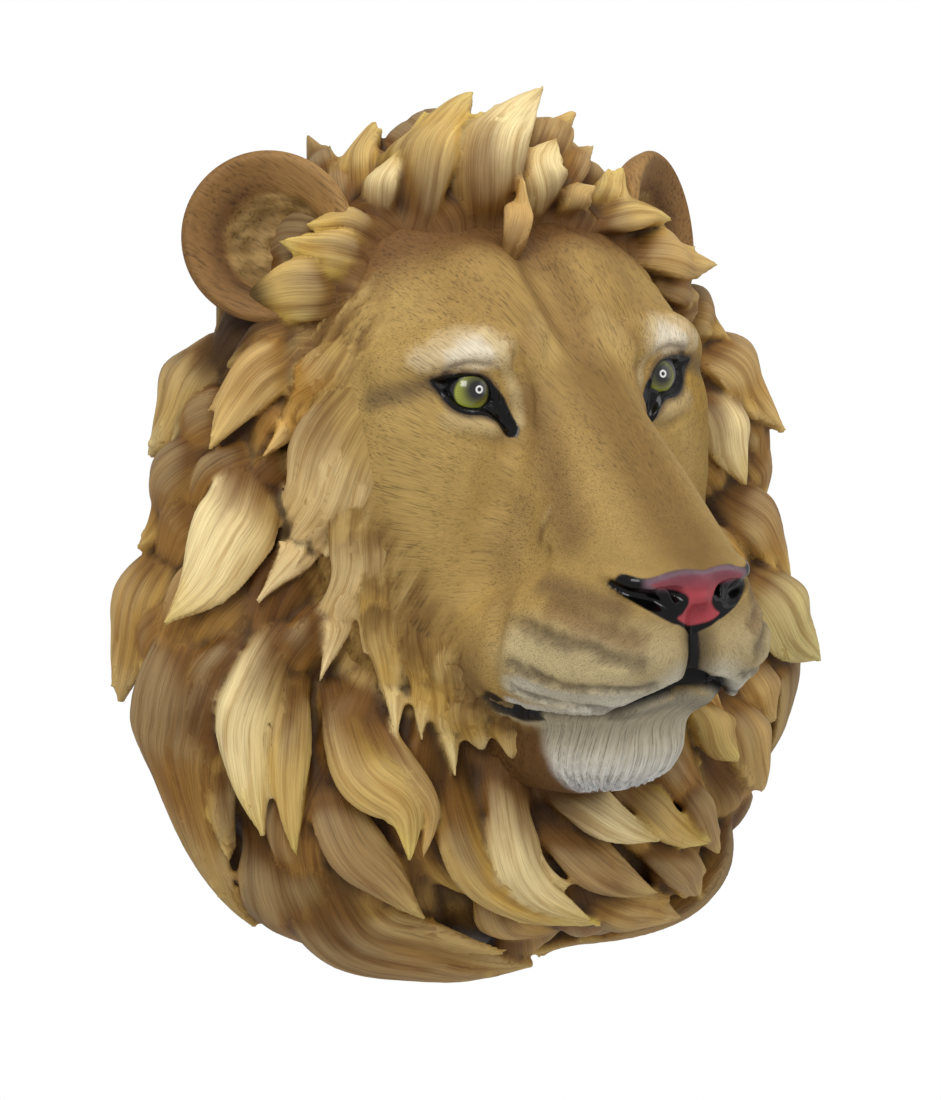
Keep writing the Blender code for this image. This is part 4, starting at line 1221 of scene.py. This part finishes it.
class Locks:
    """The skins of all the locks, and what is known of the points on their tops."""

    def __init__(self):
        self.points, self.faces, self.count = [], [], 0
        self.tops = {kind: [] for kind in KINDS}

    def add(self, rows, tops, colour, strand, heading, aside, share):
        points = with_ends(rows)
        self.faces += tube_faces(len(rows), rows.shape[1], self.count)
        self.points.append(points)
        self.count += len(points)
        across = tops.shape[1]
        leaf = np.full(len(share) * across, len(self.tops["leaf"]))
        values = (tops.reshape(-1, 3), colour.reshape(-1, 3), strand.reshape(-1, 2),
                  *(np.repeat(value, across, axis=0) for value in (heading, aside, share)), leaf)
        for kind, value in zip(KINDS, values):
            self.tops[kind].append(value)


locks = Locks()
print("kept for each point:", KINDS)

# %% [markdown]
# Each lock has one of a few tones, a colour for its root, its belly and its end. Soft ones lie on the
# cheeks. All the roots fade into one ground of two browns, so that one lock runs into the next.

# %% Tones
TONES = {
    "dark": (paint(88, 58, 28), paint(112, 76, 36), paint(148, 114, 52)),
    "brown": (paint(96, 64, 30), paint(154, 113, 56), paint(208, 176, 100)),
    "tan": (paint(108, 74, 34), paint(186, 146, 78), paint(218, 184, 108)),
    "olive": (paint(108, 76, 34), paint(200, 164, 86), paint(230, 206, 108)),
    "cream": (paint(128, 88, 42), paint(242, 222, 172), paint(220, 192, 112)),
    "pale": (paint(116, 84, 42), paint(194, 162, 100), paint(216, 198, 146)),
    "fur": (paint(148, 112, 54), paint(196, 162, 92), paint(234, 214, 160)),
    "warm": (paint(136, 94, 42), paint(192, 148, 76), paint(220, 180, 108)),
    "cheek": (paint(142, 104, 50), paint(222, 194, 142), paint(232, 210, 164)),
    "moss": (paint(112, 84, 40), paint(200, 182, 122), paint(226, 216, 136)),
}
SOFT_TONES = ("fur", "cheek", "warm")
GROOVE_SHADE = paint(96, 64, 28)


def ground(points):
    """The brown that all the roots share."""
    broad = 0.5 + 0.5 * soft_noise(points * 0.024, 21)
    fine = 0.5 + 0.5 * soft_noise(points * 0.07, 22)
    return blend(blend(paint(96, 64, 30), paint(142, 102, 48), broad), paint(78, 50, 24), fine * 0.35)


print("tones:", sorted(TONES))

# %% [markdown]
# A lock is a leaf that is swept along the spine: broad, and pointed at its tip, with a domed top that
# grooves part into strands. One edge stands up and the other sinks, and the underside is sunk into the
# mane. The soft ones on the cheeks are flatter.

# %% One leaf
TIP_OVER = 0.22
SOFT_CROWN = 0.55
GROOVE_DEPTH = 1.7


def add_leaf(locks, dice, spine, out, width, tone, across, crisp):
    """Sweep one leaf along a spine and paint it. The edge on the side of crisp, 1 or -1, stands up."""
    stations = len(spine)
    t = np.linspace(0, 1, stations)
    heading = unit_vector(np.gradient(spine, axis=0))
    aside = unit_vector(np.cross(out, heading))
    out = unit_vector(np.cross(heading, aside))
    shape = leaf_width(t)
    half = width / 2 * shape
    flat = SOFT_CROWN if tone in SOFT_TONES else 1
    crown = CROWN * flat * half * (ROOT_CROWN + (1 - ROOT_CROWN) * smooth_step(0, 0.45, t)) + 0.6
    under = np.interp(t, [0, 0.5, 1], [10, 9, 3.0])

    u = np.linspace(-1, 1, across)
    dome = np.clip(1 - np.abs(u) ** 2.2, 0, 1) ** 0.6 * (1 + 0.25 * crisp * u)
    bands = max(2, round(width / 8))
    phase = dice.random() + dice.uniform(-0.3, 0.3) * t[:, None]
    warp = u + 0.12 * math.sin(dice.uniform(0, 6)) * np.sin(u * 5 + dice.uniform(0, 6))
    groove = -(1 - np.abs(np.sin(math.pi * (warp * bands / 2 + phase)))) ** 2.4
    fade = np.interp(t, [0, 0.25, 0.8, 1], [0.2, 1, 1, 0.4])[:, None]
    height = crown[:, None] * dome + np.minimum(0.13 * half, GROOVE_DEPTH)[:, None] * groove * fade
    tip_over = TIP_OVER * (half * np.interp(t, [0, 0.25, 0.8, 1], [0.4, 1, 1, 0]))
    height = height + tip_over[:, None] * u * crisp
    top = spine[:, None] + aside[:, None] * (half[:, None] * u)[..., None] + out[:, None] * height[..., None]
    low_u = np.array([0.6, -0.6])
    low = (spine[:, None] + aside[:, None] * (half[:, None] * low_u)[..., None]
           - out[:, None] * under[:, None, None])

    length = np.concatenate([[0], np.cumsum(np.linalg.norm(np.diff(spine, axis=0), axis=1))])
    combed = (0.45 + 0.55 * shape) * width / 2
    across_mm = combed[:, None] * u + dice.uniform(0, 500)
    along_mm = np.broadcast_to(length[:, None], across_mm.shape) + dice.uniform(0, 500)

    root, belly, end = TONES[tone]
    knots = np.linspace(-1, 1, 7)
    streak = np.interp(u, knots, [dice.uniform(-1, 1) for _ in knots])
    streak = streak * 0.12 + np.array([dice.uniform(-0.05, 0.05) for _ in u])
    reach = t[:, None] + streak
    colour = ramp(reach, ((0.15, root), (0.5, belly), (0.72, belly), (1.0, end)))
    sunk = smooth_step(0.05, 1.0, -u * crisp + streak) * np.interp(t, [0.2, 0.7, 1], [1, 0.8, 0.2])[:, None]
    colour = blend(colour, blend(root, end, 0.5), sunk * 0.75)
    shared = ground(top.reshape(-1, 3)).reshape(top.shape)
    if tone in SOFT_TONES:
        shared = blend(shared, root, 0.7)
    colour = blend(shared, colour, smooth_step(0.08, 0.46, reach))
    # The grooves between a leaf's strands are painted darker: painted shade.
    colour = blend(colour, GROOVE_SHADE, np.clip(-groove * 0.35 * (1.1 - t[:, None]), 0, 1))
    scale = combed / np.maximum(half, 0.5)
    locks.add(np.concatenate([top, low], axis=1), top, colour, np.stack([across_mm, along_mm], -1), heading,
              aside * scale[:, None], t)


print("a soft leaf's crown is", SOFT_CROWN, "of a common leaf's")

# %% [markdown]
# Slimmer strands follow the same spine at the sides of their lock and leave it before its tip. Which edge
# of a lock stands up depends on the side of the head it grows on.

# %% A lock with its strands
STATIONS = 34
STRAND_STATIONS = 26
LOCK_ACROSS, STRAND_ACROSS = 21, 11
STRAND_SIDES = (-1, 1, 0)


def add_lock(locks, dice, route, width, lift=8, curl=4, tone="tan", strands=3):
    spine, out = lock_spine(route, width, lift, curl, STATIONS)
    middle = np.median([clock for clock, _ in route]) % 360
    crisp = 1 if 55 < middle < 142 else -1
    add_leaf(locks, dice, spine, out, width, tone, LOCK_ACROSS, crisp)
    heading = unit_vector(np.gradient(spine, axis=0))
    aside = unit_vector(np.cross(out, heading))
    t = np.linspace(0, 1, STATIONS)
    for k in range(strands):
        side = STRAND_SIDES[k] + dice.uniform(-0.15, 0.15)
        reach = dice.uniform(0.66, 0.84) if k < 2 else dice.uniform(0.86, 0.94)
        offset = width * side * (0.20 + 0.10 * t + 0.14 * t ** 4)
        over = 0.12 * width * (0.9 - 0.6 * abs(side)) * smooth_step(0.05, 0.5, t) - 1.5 * (1 - t)
        over = over + TIP_OVER * width / 2 * leaf_width(t) * side * crisp * 0.6
        beside = spine + aside * offset[:, None] + out * over[:, None]
        stops = np.linspace(0, reach * (STATIONS - 1), STRAND_STATIONS)
        step = np.minimum(stops.astype(int), STATIONS - 2)
        part = (stops - step)[:, None]
        line = beside[step] * (1 - part) + beside[step + 1] * part
        way = out[step] * (1 - part) + out[step + 1] * part
        add_leaf(locks, dice, line, way, width * dice.uniform(0.32, 0.44), tone, STRAND_ACROSS, crisp)


print("each big lock has", len(STRAND_SIDES), "strands on it")

# %% [markdown]
# Under the big locks lie tiers of darker ones, all round the clock. FLOW says how far a lock turns round
# the clock on its way out, in steps of 30 degrees: down both cheeks, and across under the chin to the
# lion's left.

# %% The underlying tiers
FLOW = [4, 6, 14, 14, 8, -6, -20, -24, -20, -22, -22, -12]
TIERS = ((0.00, 22, 34, 0.34), (0.22, 20, 42, 0.42), (0.46, 20, 48, 0.42), (0.70, 22, 48, 0.28))
TIER_LIFT = -5
TIER_TONES = ("dark", "brown", "brown", "tan")

places = random.Random(11)
dice = random.Random(5)
for tier, (ring, count, width, run) in enumerate(TIERS):
    for i in range(count):
        clock = (i + 0.5 * (tier % 2)) * 360 / count + places.uniform(-3, 3)
        turn = float(round_clock(FLOW, clock)) * places.uniform(0.8, 1.1)
        reach = run * places.uniform(0.85, 1.15)
        route = [(clock, ring), (clock + turn * 0.35, min(ring + reach * 0.55, 0.94)),
                 (clock + turn, min(ring + reach, 0.97))]
        add_lock(locks, dice, route, width * places.uniform(0.85, 1.15), TIER_LIFT + places.uniform(-1, 2),
                 places.uniform(1, 4), tone=dice.choice(TIER_TONES), strands=2)
print("tiers:", locks.count, "points")

# %% [markdown]
# The locks that stand out are placed one by one: the places on the envelope that the spine runs through,
# the width, the lift, the curl and the tone that the airbrush gave it.

# %% The big locks
CHEEK_FRINGE = (
    (((252, -0.24), (231, -0.10), (218, 0.09)), 26, -1, 8, "fur"),
    (((239, -0.26), (223, -0.12), (214, 0.06)), 20, -1, 6, "fur"),
    (((234, -0.30), (217, -0.14), (204, 0.09)), 28, -2, 8, "fur"),
    (((215, -0.20), (207, -0.10), (199, 0.00)), 24, 0, 4, "fur"),
    (((203, -0.20), (199, -0.12), (194, -0.04)), 22, 0, 4, "fur"),
    (((262, -0.26), (244, -0.16), (232, -0.02)), 22, -1, 5, "fur"),
    (((280, -0.24), (254, -0.16), (234, 0.16)), 30, 1, 7, "cheek"),
)
RIGHT_LOCKS = (
    (((333, 0.23), (328, 0.41), (325, 0.55)), 18, 8, 3, "olive"),
    (((328, 0.13), (323, 0.36), (321, 0.58)), 21, 10, 5, "olive"),
    (((322, 0.09), (315, 0.42), (310, 0.66)), 29, 9, 5, "olive"),
    (((313, 0.25), (304, 0.48), (297, 0.61)), 23, 6, 4, "brown"),
    (((314, 0.19), (296, 0.41), (281, 0.49)), 27, 9, 5, "tan"),
    (((319, -0.06), (304, -0.05), (282, 0.27)), 30, 1, 8, "warm"),
    (((312, -0.20), (291, -0.18), (268, -0.06), (252, 0.26)), 48, 2, 8, "cheek"),
    (((286, 0.26), (269, 0.34), (257, 0.42), (251, 0.54)), 38, 12, 8, "cream"),
    (((306, 0.88), (292, 0.89), (279, 0.95)), 40, 6, 8, "pale"),
    (((284, 0.52), (272, 0.77), (260, 0.87)), 38, 6, 9, "brown"),
    (((267, 0.82), (252, 0.84), (240, 0.93)), 44, 6, 10, "tan"),
    (((256, 0.43), (240, 0.59), (228, 0.71), (209, 0.81)), 54, 7, 11, "brown"),
    (((250, 0.27), (240, 0.44), (229, 0.60), (220, 0.67)), 30, 6, 2, "dark"),
    (((248, 0.12), (239, 0.34), (229, 0.44), (221, 0.50)), 30, 12, 4, "cream"),
    (((243, 0.14), (230, 0.29), (223, 0.39), (217, 0.47)), 18, 10, 3, "olive"),
    (((232, 0.11), (220, 0.20), (212, 0.20), (207, 0.29)), 28, 13, 8, "olive"),
    (((227, 0.07), (216, 0.13), (207, 0.18), (204, 0.28)), 16, 10, 5, "tan"),
    (((225, 0.27), (215, 0.34), (206, 0.38), (197, 0.44)), 27, 8, 3, "brown"),
    (((217, 0.49), (204, 0.60), (191, 0.60), (174, 0.67)), 52, 7, 4, "brown"),
    (((221, 0.57), (213, 0.63), (199, 0.81), (189, 0.79)), 44, 5, 4, "brown"),
    (((207, 0.03), (197, 0.22), (185, 0.33), (170, 0.43)), 27, 9, 4, "olive"),
    (((194, -0.05), (190, 0.16), (184, 0.28), (173, 0.39)), 25, 11, 4, "cream"),
)
LEFT_LOCKS = (
    (((184, 0.00), (173, 0.12), (161, 0.23)), 24, 11, 3, "cream"),
    (((163, 0.08), (158, 0.20), (150, 0.33)), 22, 9, 3, "olive"),
    (((149, 0.16), (149, 0.28), (148, 0.42)), 20, 7, 2, "brown"),
    (((183, 0.12), (172, 0.26), (160, 0.39)), 26, 8, 3, "brown"),
    (((160, 0.23), (154, 0.38), (151, 0.54)), 24, 7, 5, "brown"),
    (((177, 0.33), (163, 0.44), (154, 0.57)), 27, 7, 8, "tan"),
    (((20, 0.20), (27, 0.27), (37, 0.42)), 23, 10, 4, "olive"),
    (((30, 0.15), (39, 0.26), (49, 0.46)), 27, 12, 11, "tan"),
    (((38, 0.15), (45, 0.25), (52, 0.38)), 20, 8, 3, "brown"),
    (((51, 0.38), (58, 0.48), (64, 0.49)), 28, 7, 7, "brown"),
    (((60, 0.47), (71, 0.46), (83, 0.52)), 40, 11, 11, "tan"),
    (((70, 0.42), (82, 0.52), (89, 0.50)), 34, 7, 3, "brown"),
    (((67, 0.30), (79, 0.24), (90, 0.28)), 28, 11, 4, "cream"),
    (((80, 0.38), (89, 0.50), (94, 0.49)), 28, 6, 2, "brown"),
    (((89, 0.27), (99, 0.37), (107, 0.43)), 32, 8, 3, "brown"),
    (((104, 0.26), (113, 0.32), (116, 0.51)), 40, 11, 9, "moss"),
    (((119, 0.26), (125, 0.34), (127, 0.43)), 26, 7, 3, "tan"),
    (((127, 0.23), (134, 0.32), (136, 0.49)), 32, 8, 3, "tan"),
    (((134, 0.12), (140, 0.16), (140, 0.25)), 26, 9, 3, "olive"),
)
FORELOCK = (
    (((353, -0.01), (354, 0.27), (1, 0.47), (10, 0.64)), 34, 17, 13, "cream"),
    (((337, 0.25), (345, 0.44), (353, 0.58), (3, 0.77)), 40, 11, 9, "olive"),
    (((334, 0.40), (339, 0.46), (344, 0.51)), 20, 12, 3, "cream"),
    (((332, 0.53), (342, 0.74), (352, 0.91)), 26, 8, 3, "olive"),
    (((331, 0.56), (336, 0.69), (343, 0.89)), 14, 8, 2, "brown"),
    (((335, 0.78), (340, 0.90), (343, 0.96)), 20, 9, 12, "dark"),
    (((2, 0.24), (11, 0.57), (16, 0.62)), 28, 13, 13, "tan"),
    (((10, 0.22), (14, 0.43), (21, 0.58)), 20, 9, 7, "brown"),
    (((7, 0.07), (3, 0.23), (8, 0.40)), 26, 13, 4, "cream"),
    (((13, 0.10), (12, 0.18), (16, 0.25)), 15, 10, 3, "tan"),
    (((2, 0.09), (0, 0.24), (2, 0.38)), 15, 11, 3, "tan"),
    (((351, -0.16), (356, -0.07), (358, 0.20)), 14, 15, 4, "warm"),
    (((23, 0.27), (23, 0.35), (27, 0.55)), 18, 9, 7, "olive"),
)


def mirrored(lock):
    """The same lock on the other side of the head."""
    route, *rest = lock
    return tuple((360 - clock, ring) for clock, ring in route), *rest


BACK_LOCKS = tuple(mirrored(lock) for lock in RIGHT_LOCKS[8:12] + RIGHT_LOCKS[19:20] + FORELOCK[3:4])
for lock in CHEEK_FRINGE + RIGHT_LOCKS + LEFT_LOCKS + BACK_LOCKS + FORELOCK:
    add_lock(locks, dice, *lock)
print("all locks:", locks.count, "points")

# %% [markdown]
# The real mane is cast in one piece, so its locks run into one another at their roots and part only towards
# their tips. The locks and the core under them are fused into one skin by a voxel remesh, and cut at the
# wall.

# %% Fuse the mane
CORE_INSET = 4
PAST_WALL = 12
MANE_GRAIN = 1.5
MOST_TRIANGLES = 197000


def core_rows(steps, clock_steps):
    clock = np.arange(clock_steps) * 360 / clock_steps
    rows = [shell(clock, ring) - CORE_INSET * mane_normal(clock, ring) for ring in np.linspace(0, 1, steps)]
    behind = rows[-1].copy()
    behind[:, 1] = PAST_WALL
    return np.array(rows + [behind])


def count_triangles(mesh):
    return len(mesh.loops) - 2 * len(mesh.polygons)


core = core_rows(steps=14, clock_steps=120)
faces = locks.faces + tube_faces(len(core), core.shape[1], locks.count)
mane = new_object("mane", np.concatenate(locks.points + [with_ends(core)]), faces)
bpy.context.view_layer.objects.active = mane
mane.select_set(True)
bpy.ops.object.mode_set(mode="EDIT")
bpy.ops.mesh.select_all(action="SELECT")
bpy.ops.mesh.normals_make_consistent(inside=False)
bpy.ops.object.mode_set(mode="OBJECT")
use("REMESH", mode="VOXEL", voxel_size=MANE_GRAIN)
use("SMOOTH", factor=0.5, iterations=3)
bpy.ops.object.mode_set(mode="EDIT")
bpy.ops.mesh.select_all(action="SELECT")
bpy.ops.mesh.bisect(plane_co=(0, 0, 0), plane_no=(0, 1, 0), clear_outer=True, use_fill=True)
bpy.ops.object.mode_set(mode="OBJECT")
fused = count_triangles(mane.data)
if fused > MOST_TRIANGLES:
    use("DECIMATE", ratio=MOST_TRIANGLES / fused)
print("fused mane:", fused, "triangles, kept", count_triangles(mane.data))

# %% [markdown]
# Each point of the skin takes its paint and the run of its hair from the nearest point of a lock. Where two
# locks cross, a stray point may have taken the wrong one, and it is given a neighbour's.

# %% Match the skin to the locks
WALL_SKIN = 0.5
AGREE_ENOUGH = 0.55


def neighbour_mean(values, edges, count):
    """The mean of each vertex's neighbours, for values of one or more columns."""
    a, b = edges[:, 0], edges[:, 1]
    total = [np.bincount(a, column[b], count) + np.bincount(b, column[a], count) for column in values.T]
    share = np.bincount(a, minlength=count) + np.bincount(b, minlength=count)
    return np.stack(total, -1) / np.maximum(share, 1)[:, None]


def nearest_rows(targets, points):
    """For each point, the row of targets that lies nearest, and how far away it is."""
    tree = KDTree(len(targets))
    for row, target in enumerate(targets):
        tree.insert(target, row)
    tree.balance()
    found = [tree.find(point)[1:] for point in points]
    return np.array([row for row, _ in found]), np.array([gap for _, gap in found])


def settle(row, leaf, edges, count, rounds=4):
    """Give a stray vertex the source row of the neighbour that agrees best with its own surroundings."""
    a, b = np.concatenate([edges, edges[:, ::-1]]).T
    for _ in range(rounds):
        same = leaf[row[a]] == leaf[row[b]]
        agree = np.bincount(a, same, count) / np.maximum(np.bincount(a, minlength=count), 1)
        order = np.argsort(agree[b], kind="stable")
        best = np.arange(count)
        best[a[order]] = b[order]
        row = np.where(agree < AGREE_ENOUGH, row[best], row)
    return row


source = {kind: np.concatenate(locks.tops[kind]) for kind in KINDS}
skin = points_of(mane.data)
count = len(skin)
edges = np.empty(len(mane.data.edges) * 2, int)
mane.data.edges.foreach_get("vertices", edges)
edges = edges.reshape(-1, 2)
row, gap = nearest_rows(source["place"], skin)
at_wall = skin[:, 1] > -WALL_SKIN
row = settle(row, source["leaf"], edges, count)
print("farthest from a lock's skin:", round(float(gap[~at_wall].max()), 1), "mm")

# %% [markdown]
# Roots are relaxed until they are soft, and tips keep their edges. Relaxing a copy of the skin further and
# further shows where it is hollow and where it stands proud, from hair by hair to lock by lock.

# %% Soft roots and hollows
RELAX_ROOTS = 10
HAIR_ROUNDS, STRAND_ROUNDS, LOCK_ROUNDS = 6, 40, 110
share = source["share"][row]
loose = (1 - smooth_step(0.12, 0.5, share)) * 0.5 * ~at_wall
for _ in range(RELAX_ROOTS):
    skin = skin + (neighbour_mean(skin, edges, count) - skin) * loose[:, None]
set_points(mane.data, skin)
push = normals_of(mane.data)
relaxed = skin
hollow = {}
for rounds in range(1, LOCK_ROUNDS + 1):
    relaxed = neighbour_mean(relaxed, edges, count)
    if rounds in (HAIR_ROUNDS, STRAND_ROUNDS, LOCK_ROUNDS):
        hollow[rounds] = ((relaxed - skin) * push).sum(1)
print("deepest hollow:", round(float(hollow[LOCK_ROUNDS].max()), 1), "mm")

# %% [markdown]
# Then come the painter's two last steps, which also paint in light and shade: a dark wash that settles in
# the hollows, both the casting's airbrushed dark and painted shade, a painted shadow under the ears, and a
# dry brush over the ridges, both paint and painted highlight. Beside the face the roots take the colour of
# its fur.

# %% Wash and dry brush, with painted shade and highlight
WASH_AND_SHADE = paint(58, 36, 16)
DRY_BRUSH_AND_HIGHLIGHT = paint(248, 228, 176)
EAR_SHADOW_PATH = [(115, -50, 110), (119, -38, 96)]
WARMTH = (1.12, 1.07, 0.93)
BLUR_ROUNDS = 3

colours = source["colour"][row]
for _ in range(BLUR_ROUNDS):
    colours = colours * 0.5 + neighbour_mean(colours, edges, count) * 0.5
colours = colours * WARMTH
# Dark brown in the hollows, at three scales: the casting's wash and painted shade together.
colours = blend(colours, WASH_AND_SHADE, smooth_step(0.5, 6.0, hollow[LOCK_ROUNDS]) * 0.6)
colours = blend(colours, WASH_AND_SHADE, smooth_step(0.2, 2.6, hollow[STRAND_ROUNDS]) * 0.75)
colours = blend(colours, WASH_AND_SHADE, smooth_step(0.1, 0.7, hollow[HAIR_ROUNDS]) * 0.3)
# Pale over the proud ridges: dry brush and painted highlight together.
colours = blend(colours, DRY_BRUSH_AND_HIGHLIGHT, smooth_step(0.3, 2.5, -hollow[STRAND_ROUNDS]) * 0.20)
# A painted shadow under each ear.
from_ear_shadow, _ = nearest_on_path(on_left(skin), np.array(EAR_SHADOW_PATH, float))
colours = blend(colours, WASH_AND_SHADE, smooth_step(25, 9, from_ear_shadow) * 0.9)
face_row, face_gap = nearest_rows(face_place, skin)
as_face = smooth_step(9, 2, face_gap) * (1 - smooth_step(0.25, 0.6, share)) * (fur * (1 - chin))[face_row]
colours = blend(colours, face_colours[face_row], as_face)
give_colour(mane.data, "paint", np.clip(colours, 0, 1))
print("share of the mane painted as the face:", round(float(as_face.mean()), 3))

# %% [markdown]
# The map for the strands gives each corner of a face its place on its lock, in metres. A face whose corners
# come from different locks is mapped as its first corner's lock, so that no strand is stretched over the
# gap.

# %% Strands on the mane
SAME_LOCK = 25
corner = np.empty(len(mane.data.loops), int)
mane.data.loops.foreach_get("vertex_index", corner)
starts = [polygon.loop_start for polygon in mane.data.polygons]
lengths = [polygon.loop_total for polygon in mane.data.polygons]
first = np.repeat(corner[starts], lengths)
apart = np.linalg.norm(source["strand"][row[corner]] - source["strand"][row[first]], axis=1) > SAME_LOCK
origin = np.where(apart, row[first], row[corner])
step = skin[corner] - source["place"][origin]
strands = source["strand"][origin] + np.stack([(step * source["aside"][origin]).sum(1),
                                               (step * source["heading"][origin]).sum(1)], -1)
layer = mane.data.uv_layers.new(name="strands")
layer.data.foreach_set("uv", (strands * MM).ravel())
set_points(mane.data, skin * MM)
mane.data.materials.append(lock_paint)
mane.data.shade_smooth()
outward(mane)
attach(mane, "root")
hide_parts("head_casting")
print("mane:", count_triangles(mane.data), "triangles")

# %% [markdown]
# The ears are cupped: a thick round rim, a hollow front with a paler tuft at its inner edge, and a domed
# back that sinks into the mane.

# %% Ears
EAR_CENTRE = (105, -58, 138)
EAR_RADIUS = 38
EAR_WALL = 9
EAR_BOWL = 17
EAR_FACING = (0.55, -0.82, 0.14)
EAR_STEPS = 120


EAR_PROFILE = (
    (0.25, -EAR_BOWL - EAR_WALL, 0),
    (0.62, -EAR_BOWL, 0),
    (0.90, -EAR_WALL, 0),
    (1.0, 0, 0),
    (0.97, EAR_WALL * 0.4, 0),
    (0.90, EAR_WALL * 0.5, 0),
    (0.78, EAR_WALL * 0.2, 0.1),
    (0.62, -EAR_WALL * 0.35, 0.4),
    (0.50, -EAR_BOWL * 0.6, 0.9),
    (0.34, -EAR_BOWL * 0.9, 1),
    (0.15, -EAR_BOWL, 1),
)
PROFILE_STEPS = 96
BOWL_INWARD, BOWL_DOWN = 5, 3
SWIRL = 1.8
EAR_BROWN, EAR_TAN, EAR_SHADE, EAR_HOLLOW_SHADE = (paint(144, 106, 60), paint(168, 128, 76), paint(98, 66, 36),
                                           paint(84, 56, 32))


def ear_colours(bowl, inner, low_inner, swirl):
    """Brown round the rim, tan at its inner side, dark where the bowl begins and deep in it low at the inner
    side, as painted shade, and a paler tuft in it.
    """
    colour = blend(np.broadcast_to(EAR_BROWN, (*bowl.shape, 3)), EAR_TAN, smooth_step(-0.2, 0.9, inner))
    crease = np.exp(-((bowl - 0.35) / 0.2) ** 2)
    colour = blend(colour, EAR_SHADE, crease * smooth_step(0.5, -0.6, inner) * 0.8)
    tuft = blend(paint(138, 110, 66), paint(186, 152, 96), np.clip(0.5 + 0.5 * swirl, 0, 1))
    colour = blend(colour, tuft, smooth_step(0.4, 0.8, bowl))
    # Dark deep in the bowl at its low inner side: painted shade in the ear's hollow.
    return blend(colour, EAR_HOLLOW_SHADE, smooth_step(0.5, 1.0, bowl) * smooth_step(-0.1, 0.8, low_inner) * 0.8)


def make_ear(name, side):
    facing = unit_vector(np.array(EAR_FACING) * (side, 1, 1))
    up_ear = unit_vector(np.array((0.25 * side, 0, 1.0)))
    right_ear = unit_vector(np.cross(up_ear, facing))
    up_ear = np.cross(facing, right_ear)
    profile = smooth_route(EAR_PROFILE, PROFILE_STEPS)
    angle = np.arange(EAR_STEPS) * 2 * math.pi / EAR_STEPS
    radius = EAR_RADIUS * np.outer(profile[:, 0], 1 + 0.05 * np.cos(angle))
    forward, bowl = (profile[:, k:k + 1] * np.ones(EAR_STEPS) for k in (1, 2))
    rows = (np.array(EAR_CENTRE) * (side, 1, 1) + (radius * np.sin(angle))[..., None] * right_ear
            + (radius * np.cos(angle))[..., None] * up_ear + forward[..., None] * facing)
    inner = -side * np.sin(angle) * np.ones((len(profile), 1))
    low_inner = inner * 0.7 - np.cos(angle) * 0.7
    rows = rows - bowl[..., None] * (BOWL_INWARD * side * right_ear + BOWL_DOWN * up_ear)
    swirl = soft_noise(rows.reshape(-1, 3) * (0.16, 0.16, 0.3), 12).reshape(bowl.shape)
    rows = rows + (smooth_step(0.3, 0.8, bowl) * SWIRL * swirl)[..., None] * facing
    place = with_ends(rows)
    thing = new_object(name, place * MM, tube_faces(len(rows), EAR_STEPS))
    colour = with_ends(ear_colours(bowl, inner, low_inner, swirl))
    mottle = 1 + 0.06 * soft_noise(place * 0.12, 8) + 0.08 * soft_noise(place * 0.5, 9)
    give_colour(thing.data, "paint", np.clip(colour * mottle[:, None], 0, 1))
    for attribute, value in (("gloss", 0), ("fur", 1), ("chin", 0), ("comb", 0), ("long_hair", 0)):
        give_number(thing.data, attribute, value)
    thing.data.materials.append(fur_paint)
    thing.data.shade_smooth()
    outward(thing)
    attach(thing, "root")
    print(name, count_triangles(thing.data), "triangles")


make_ear("right_ear", -1)
make_ear("left_ear", 1)
